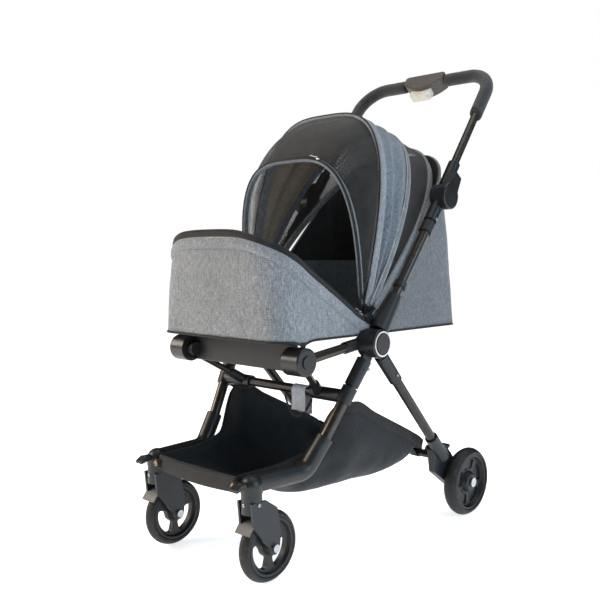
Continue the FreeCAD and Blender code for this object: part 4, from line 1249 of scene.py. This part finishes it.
class STROLLER_OT_grips(bpy.types.Operator):
    """Foam grips on the handle: bevelled ends and slight swell"""
    bl_idname = "stroller.grips"
    bl_label = "Foam grips"

    def execute(self, context):
        radius = context.scene.stroller_frame.grip_radius / MM
        points, up = handle_route(GRIP_FROM, 60.5)
        across = Vector((1, 0, 0)).cross(up)
        for side, label in SIDES:
            path = [Vector((side * p.x, p.y, p.z)) for p in points]
            verts, faces, corners = sweep(path, ring(radius, 40), normals=[across] * len(path))
            sides = 40
            for i in range(len(path)):
                centre = path[i]
                size = self.size_at(i, len(path))
                for j in range(sides):
                    v = verts[i * sides + j]
                    d = v - centre
                    wave = 0.25 * ripple(v.x, v.y, v.z, 16)
                    verts[i * sides + j] = centre + d * size + d.normalized() * wave
            lean = 6.0
            for i in range(3):
                for j in range(sides):
                    v = verts[i * sides + j]
                    verts[i * sides + j] = v + up * (lean * (v - path[i]).dot(across) / radius)
            grip = make_piece("foam_grip_" + label, verts, faces, ["grip_foam"], corners)
            give(grip, "handle")
        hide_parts("handle_grips")
        self.housing_trim()
        return {"FINISHED"}

    def size_at(self, i, count):
        if i < 3:
            return (0.80, 0.955, 1.0)[i]
        if i > count - 4:
            return (0.82, 0.95, 0.99)[count - 1 - i]
        return 1.0

    def housing_trim(self):
        """Dark lip under the release housing, on its front and rear faces."""
        a = math.radians(HANDLE_ANGLE)
        up = Vector((0, math.cos(a), math.sin(a)))
        centre = Vector((0, *KNUCKLE)) + up * HANDLE_REACH
        out = Vector((1, 0, 0)).cross(up)
        for face, label in ((1, "rear"), (-1, "front")):
            path = []
            for k in range(33):
                t = k / 32
                x = 57 - 114 * t
                sag = 28 * (1 - (x / 60) ** 2)
                path.append(centre + Vector((x, 0, 0)) + up * (-5.0 - sag) + out * (face * 17.6))
            lip = swept_piece("housing_lip_" + label, path, pill(4.2, 1.8), "grip_foam",
                              normals=[out * face] * 33)
            give(lip, "handle")


# ---- wheels ----------------------------------------------------------------------------
def spun_piece(name, finish, profile, centre, steps=112):
    """Ring turned about the X axis through centre, from (x, radius) points, all in mm."""
    bpy.ops.object.select_all(action="DESELECT")
    bpy.ops.mesh.primitive_circle_add(vertices=len(profile), radius=1, location=(0, 0, 0))
    piece = bpy.context.object
    for vertex, (x, r) in zip(piece.data.vertices, profile):
        vertex.co = (x * MM, 0, r * MM)
    edit_all()
    bpy.ops.mesh.spin(steps=steps, angle=2 * math.pi, center=(0, 0, 0), axis=(1, 0, 0))
    bpy.ops.mesh.select_all(action="SELECT")
    bpy.ops.mesh.remove_doubles(threshold=1e-6)
    bpy.ops.mesh.normals_make_consistent(inside=False)
    bpy.ops.object.mode_set(mode="OBJECT")
    piece.data.transform(Matrix.Translation(Vector(centre) * MM))
    piece.name = piece.data.name = name
    piece.data.materials.append(material(finish))
    for polygon in piece.data.polygons:
        polygon.use_smooth = True
    return piece


def settle(piece, name, finish, bevel=0.0):
    """Applies place and turn, softens sharp edges and gives the finish."""
    bpy.ops.object.select_all(action="DESELECT")
    piece.select_set(True)
    bpy.context.view_layer.objects.active = piece
    bpy.ops.object.transform_apply(location=True, rotation=True, scale=True)
    if bevel:
        finish_with(piece, "BEVEL", width=bevel, segments=2, limit_method="ANGLE")
    bpy.ops.object.shade_smooth_by_angle(angle=math.radians(35))
    piece.name = piece.data.name = name
    piece.data.materials.clear()
    piece.data.materials.append(material(finish))
    piece.select_set(False)
    return piece


def tyre_profile(half, radius, depth):
    """Rounded tread with two shallow grooves, a shoulder line and beads."""
    top = []
    for k in range(25):
        t = -1 + 2 * k / 24
        r = radius - half * 0.5 * t * t
        if abs(abs(t) - 0.33) < 0.05:
            r -= 0.9
        if abs(abs(t) - 0.83) < 0.05:
            r -= 0.5
        top.append((half * 0.985 * t, r))
    low = radius - depth + 0.2
    wall = [(half * 0.995, radius - half * 0.62), (half * 0.96, radius - half * 0.74),
            (half * 0.985, radius - half * 0.86), (half * 0.93, low + 1.0), (half * 0.84, low)]
    return top + wall + [(-x, r) for x, r in reversed(wall)]


class STROLLER_OT_tyres(bpy.types.Operator):
    """Four foamed tyres with grooved treads and a bead line"""
    bl_idname = "stroller.tyres"
    bl_label = "Tyres"

    def execute(self, context):
        for node in ("front_tyre_left", "front_tyre_right", "rear_tyre_left", "rear_tyre_right"):
            low, high = (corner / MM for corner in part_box(node))
            centre = (low + high) / 2
            half, radius = (high.x - low.x) / 2, (high.z - low.z) / 2
            depth = 13.0 if node.startswith("front") else 15.0
            tyre = spun_piece(node + "_tread", "tyre_rubber", tyre_profile(half, radius, depth), centre)
            body = node.replace("tyre", "wheel")
            give(tyre, body, [node])
        return {"FINISHED"}


# ---- screws and small hard trim --------------------------------------------------------
SCREWS = {  # body: (x, y, z, axis, radius) on the left side, in mm
    "push_frame": [(215.6, -4.4, 501.5, (1, 0, 0), 3.2), (218.6, 158.5, 707.0, (1, 0, 0), 3.0)],
    "frame": [(219.0, -84.0, 393.5, (1, 0, 0), 3.2)],
    "rear_frame": [(218.4, 18.2, 370.8, (1, 0, 0), 3.2), (204.1, 224.0, 156.0, (1, 0, 0), 3.6),
                   (204.1, 262.0, 120.0, (1, 0, 0), 3.0)],
    "handle": [(213.8, 235.0, 806.9, (1, 0, 0), 3.4)],
    "caster": [(166.1, -340.0, 163.0, (1, 0, 0), 3.6), (146.0, -360.2, 163.0, (0, -1, 0), 3.2)],
}


def screw_mesh():
    """Domed head with a hexagon socket, facing +Z, one unit in radius."""
    bpy.ops.object.select_all(action="DESELECT")
    bpy.ops.mesh.primitive_cylinder_add(vertices=24, radius=1.0, depth=0.7, location=(0, 0, 0.1))
    screw = bpy.context.object
    edit_faces(screw, lambda face: face.normal.z > 0.9)
    bpy.ops.mesh.inset(thickness=0.2, depth=0.16)
    bpy.ops.mesh.inset(thickness=0.25, depth=0.06)
    bpy.ops.mesh.inset(thickness=0.04, depth=-0.35)
    bpy.ops.object.mode_set(mode="OBJECT")
    bpy.ops.object.transform_apply(location=True, rotation=True, scale=True)
    mesh = screw.data.copy()
    bpy.data.objects.remove(screw)
    return mesh


class STROLLER_OT_screws(bpy.types.Operator):
    """Socket screws on the joints, sockets, housings and forks"""
    bl_idname = "stroller.screws"
    bl_label = "Screws"

    def execute(self, context):
        head = screw_mesh()
        for body, places in SCREWS.items():
            for side, label in SIDES:
                for k, (x, y, z, axis, radius) in enumerate(places):
                    mesh = head.copy()
                    mesh.transform(Matrix.Diagonal((radius * MM, radius * MM, radius * MM, 1)))
                    aim = Vector((side * axis[0], axis[1], axis[2]))
                    mesh.transform(aim.to_track_quat("Z", "Y").to_matrix().to_4x4())
                    mesh.transform(Matrix.Translation(Vector((side * x, y, z)) * MM))
                    mesh.materials.clear()
                    mesh.materials.append(material("satin_steel"))
                    screw = bpy.data.objects.new(f"screw_{body}_{k}_{label}", mesh)
                    context.scene.collection.objects.link(screw)
                    for polygon in mesh.polygons:
                        polygon.use_smooth = False
                    give(screw, f"caster_{label}" if body == "caster" else body)
        bpy.data.meshes.remove(head)
        return {"FINISHED"}


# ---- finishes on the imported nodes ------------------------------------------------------
NODE_FINISHES = {
    "gloss_black": ["hub_caps", "front_knuckles", "lower_knuckles", "upper_knuckles"],
    "satin_black": ["hub_cores", "leg_sockets", "leg_clamps", "push_boots", "push_collars", "rear_sockets",
                    "canopy_hinges", "swivel_lever_left", "swivel_lever_right", "brake_bar"],
    "blue_black": ["caster_fork_left", "caster_fork_right", "rear_housing_left", "rear_housing_right"],
    "arm_black": ["caster_arm_left", "caster_arm_right"],
    "bronze_tube": ["front_leg_left", "front_leg_right", "push_tube_left", "push_tube_right", "handle_tube",
                    "seat_rails"],
    "black_tube": ["rear_leg_left", "rear_leg_right", "front_crossbar", "seat_struts", "rear_cross_tube"],
    "rim_plastic": ["front_rim_left", "front_rim_right", "rear_rim_left", "rear_rim_right"],
    "satin_steel": ["front_axle_bolt_left", "front_axle_bolt_right", "hub_bolts", "rear_axles"],
    "bright_ring": ["hub_rings"],
    "board_plastic": ["leg_rest_board", "cabin_floor"],
    "rib_plastic": ["rear_rib", "mid_rib", "front_rib", "door_rib"],
    "trigger_cream": ["squeeze_trigger"],
    "housing_brown": ["fold_housing"],
}


class STROLLER_OT_finishes(bpy.types.Operator):
    """Makes every finish and gives the frame's own parts theirs"""
    bl_idname = "stroller.finishes"
    bl_label = "Finishes"

    def execute(self, context):
        cloth, frame = context.scene.stroller_cloth, context.scene.stroller_frame
        grey = tuple(cloth.heather)
        black = tuple(frame.plastic)
        bronze = tuple(frame.tube)
        MATERIALS.update({
            "heather_light": heather_cloth("heather_light", grey, 0.8),
            # The cabin grey at 0.62 of its brightness, for the rear half of the cabin: painted shade.
            "heather_painted_shade": heather_cloth("heather_painted_shade", shade(grey, 0.62), 0.95),
            "heather_top": heather_cloth("heather_top", (0.155, 0.175, 0.2), 0.8),
            "lining_heather": heather_cloth("lining_heather", (0.2, 0.235, 0.27), 0.6, 0.0015),
            "lining_beige": heather_cloth("lining_beige", (0.33, 0.275, 0.22), 0.35, 0.0015),
            "lining_mesh": plain_cloth("lining_mesh", (0.026, 0.025, 0.0245), 0.0021, 0.0006),
            "net_dark": net_cloth("net_dark", (0.016, 0.014, 0.0125), 0.0021, cloth.mesh_open),
            "zip_tape": plain_cloth("zip_tape", (0.012, 0.012, 0.013), 0.0009, 0.0003),
            "zip_coil": plain_cloth("zip_coil", (0.02, 0.02, 0.021), 0.0014, 0.0006, 0.0, 0.45),
            "binding_black": plain_cloth("binding_black", (0.011, 0.011, 0.012), 0.001, 0.0003),
            "black_cord": plain_cloth("black_cord", (0.011, 0.011, 0.012), 0.0011, 0.0003),
            "pale_cord": plain_cloth("pale_cord", (0.3, 0.285, 0.262), 0.0011, 0.0002),
            "webbing": plain_cloth("webbing", (0.013, 0.013, 0.014), 0.0016, 0.0005),
            "basket_cloth": plain_cloth("basket_cloth", (0.0115, 0.0125, 0.0138), 0.0012, 0.0003, 0.1, 0.72),
            "basket_binding": plain_cloth("basket_binding", (0.017, 0.0155, 0.014), 0.0012, 0.0003),
            "label_cloth": plain_cloth("label_cloth", (0.4, 0.43, 0.48), 0.0009, 0.0002),
            "pad_quilt": plain_cloth("pad_quilt", (0.045, 0.047, 0.052), 0.0014, 0.0004, 0.2),
            "grey_thread": plain_cloth("grey_thread", (0.085, 0.088, 0.092), 0.0006, 0.0001),
            "grip_foam": soft_foam("grip_foam", (0.0145, 0.0145, 0.015)),
            "tyre_rubber": tyre_rubber("tyre_rubber", (0.0135, 0.013, 0.0125)),
            "gloss_black": moulded_plastic("gloss_black", black, 0.3, 0.00005),
            "satin_black": moulded_plastic("satin_black", black, 0.42),
            "blue_black": moulded_plastic("blue_black", (0.0125, 0.0155, 0.019), 0.36),
            "arm_black": moulded_plastic("arm_black", (0.017, 0.0165, 0.016), 0.34),
            "rim_plastic": moulded_plastic("rim_plastic", (0.0125, 0.0125, 0.0125), 0.45),
            "board_plastic": moulded_plastic("board_plastic", (0.013, 0.013, 0.013), 0.5),
            "rib_plastic": moulded_plastic("rib_plastic", (0.012, 0.012, 0.012), 0.38),
            "trigger_cream": moulded_plastic("trigger_cream", (0.62, 0.59, 0.52), 0.4),
            "housing_brown": moulded_plastic("housing_brown", (0.085, 0.072, 0.062), 0.48),
            "bronze_tube": coated_tube("bronze_tube", bronze),
            "black_tube": coated_tube("black_tube", shade(bronze, 0.45), 0.34, 0.6),
            "satin_steel": bare_metal("satin_steel", (0.55, 0.55, 0.56), 0.28),
            "bright_ring": bare_metal("bright_ring", (0.8, 0.8, 0.82), 0.16),
            "bronze_stud": bare_metal("bronze_stud", (0.3, 0.2, 0.13), 0.3),
        })
        for finish, nodes in NODE_FINISHES.items():
            for node in nodes:
                piece = NODES[node]
                piece.data.materials.clear()
                piece.data.materials.append(material(finish))
        return {"FINISHED"}


# ---- stage -----------------------------------------------------------------------------
AMBIENT = 0.36


class STROLLER_OT_stage(bpy.types.Operator):
    """Pale floor, soft studio lights and the camera"""
    bl_idname = "stroller.stage"
    bl_label = "Stage"

    def execute(self, context):
        scene = context.scene
        self.floor()
        self.lights(scene)
        self.camera(scene)
        scene.view_settings.view_transform = "Standard"
        return {"FINISHED"}

    def floor(self):
        bpy.ops.object.select_all(action="DESELECT")
        bpy.ops.mesh.primitive_plane_add(size=70, location=(0, 0, -0.0004))
        floor = bpy.context.object
        floor.name = "studio_floor"
        f = Finish("studio_floor", (0.95, 0.95, 0.95), 0.9, specular_ior_level=0.0,
                   emission_color=(1, 1, 1, 1), emission_strength=0.7)
        f.paint(f.ramp(f.speckle(f.place(), 3, 3), [(0.2, 0.94), (0.8, 0.97)]))
        floor.data.materials.append(f.material)

    def lights(self, scene):
        world = bpy.data.worlds.new("studio")
        scene.world = world
        world.use_nodes = True
        background = world.node_tree.nodes["Background"]
        background.inputs[0].default_value = (1.0, 1.0, 1.0, 1)
        seen = world.node_tree.nodes.new("ShaderNodeLightPath")
        strength = world.node_tree.nodes.new("ShaderNodeMapRange")
        strength.inputs["To Min"].default_value = AMBIENT
        world.node_tree.links.new(seen.outputs["Is Camera Ray"], strength.inputs["Value"])
        world.node_tree.links.new(strength.outputs[0], background.inputs[1])
        world.cycles_visibility.glossy = False
        for name, place, aim, size, power, colour in (
                ("key_soft", (-2.6, -2.4, 2.0), (0, 0, 0.5), 2.0, 130, (1.0, 0.88, 0.76)),
                ("fill_cool", (3.2, 0.2, 1.6), (0, 0, 0.5), 2.0, 66, (0.5, 0.76, 1.0)),
                ("top_soft", (0.2, 0.6, 3.2), (0, 0, 0.5), 2.4, 40, (1.0, 1.0, 1.0))):
            light = bpy.data.lights.new(name, "AREA")
            light.size, light.energy, light.color = size, power, colour
            lamp = bpy.data.objects.new(name, light)
            lamp.location = place
            lamp.rotation_euler = (Vector(place) - Vector(aim)).to_track_quat("Z", "Y").to_euler()
            scene.collection.objects.link(lamp)

    def camera(self, scene):
        camera = bpy.data.cameras.new("camera")
        camera.lens, camera.sensor_width = 46.08, 36.0
        camera.shift_x, camera.shift_y = -0.0267, 0.0167
        camera.clip_end = 200.0
        viewer = bpy.data.objects.new("camera", camera)
        viewer.location = (1.175, -1.305, 0.625)
        back = Vector(viewer.location) - Vector((0, 0, 0.5))
        viewer.rotation_mode = "QUATERNION"
        viewer.rotation_quaternion = (back.to_track_quat("Z", "Y")
                                      @ Matrix.Rotation(math.radians(0.18), 3, "Z").to_quaternion())
        scene.collection.objects.link(viewer)
        scene.camera = viewer


# ---- panel and registration ------------------------------------------------------------
class StrollerCloth(bpy.types.PropertyGroup):
    """Colours and sizes of the cloth pieces"""
    heather: FloatVectorProperty(name="Melange grey", description="Middle colour of the cabin cloth",
                                 default=(0.225, 0.235, 0.245), subtype="COLOR", min=0, max=1)
    billow: FloatProperty(name="Billow", description="How far the cabin walls swell between their seams",
                          default=0.0024, unit="LENGTH", min=0, max=0.006)
    pad_swell: FloatProperty(name="Pad swell", description="Most that the floor pad's simulation may move",
                             default=0.006, unit="LENGTH", min=0, max=0.012)
    mesh_open: FloatProperty(name="Mesh openness", description="Share of the mesh cloth that is holes",
                             default=0.42, subtype="FACTOR", min=0, max=0.5)


class StrollerFrame(bpy.types.PropertyGroup):
    """Colours and sizes of the hard parts"""
    plastic: FloatVectorProperty(name="Plastic", description="Colour of the moulded joints",
                                 default=(0.0125, 0.0125, 0.0135), subtype="COLOR", min=0, max=1)
    tube: FloatVectorProperty(name="Tube", description="Colour of the anodised tubes",
                              default=(0.058, 0.048, 0.038), subtype="COLOR", min=0, max=1)
    grip_radius: FloatProperty(name="Grip radius", description="Outside radius of the foam grips",
                               default=0.016, unit="LENGTH", min=0.012, max=0.018)


STEPS = (STROLLER_OT_stage, STROLLER_OT_finishes, STROLLER_OT_front_bucket, STROLLER_OT_rear_bucket,
         STROLLER_OT_cabin_pad, STROLLER_OT_rib_sleeves, STROLLER_OT_canopy_cloth, STROLLER_OT_door_zip,
         STROLLER_OT_basket, STROLLER_OT_grips, STROLLER_OT_tyres, STROLLER_OT_screws)


class STROLLER_PT_panel(bpy.types.Panel):
    """Lists the stroller's steps and the values a user may change"""
    bl_idname = "STROLLER_PT_panel"
    bl_label = "Stroller"
    bl_space_type = "VIEW_3D"
    bl_region_type = "UI"
    bl_category = "Stroller"

    def draw(self, context):
        layout = self.layout
        for group in (context.scene.stroller_cloth, context.scene.stroller_frame):
            for key in group.bl_rna.properties.keys():
                if key not in ("rna_type", "name"):
                    layout.prop(group, key)
        for step in STEPS:
            layout.operator(step.bl_idname)


CLASSES = (StrollerCloth, StrollerFrame, *STEPS, STROLLER_PT_panel)


def register():
    for cls in CLASSES:
        bpy.utils.register_class(cls)
    bpy.types.Scene.stroller_cloth = PointerProperty(type=StrollerCloth)
    bpy.types.Scene.stroller_frame = PointerProperty(type=StrollerFrame)


def unregister():
    del bpy.types.Scene.stroller_cloth
    del bpy.types.Scene.stroller_frame
    for cls in reversed(CLASSES):
        bpy.utils.unregister_class(cls)


def main():
    register()
    bpy.ops.object.select_all(action="DESELECT")
    for step in STEPS:
        group, call = step.bl_idname.split(".")
        getattr(getattr(bpy.ops, group), call)()


if __name__ == "__main__":
    main()
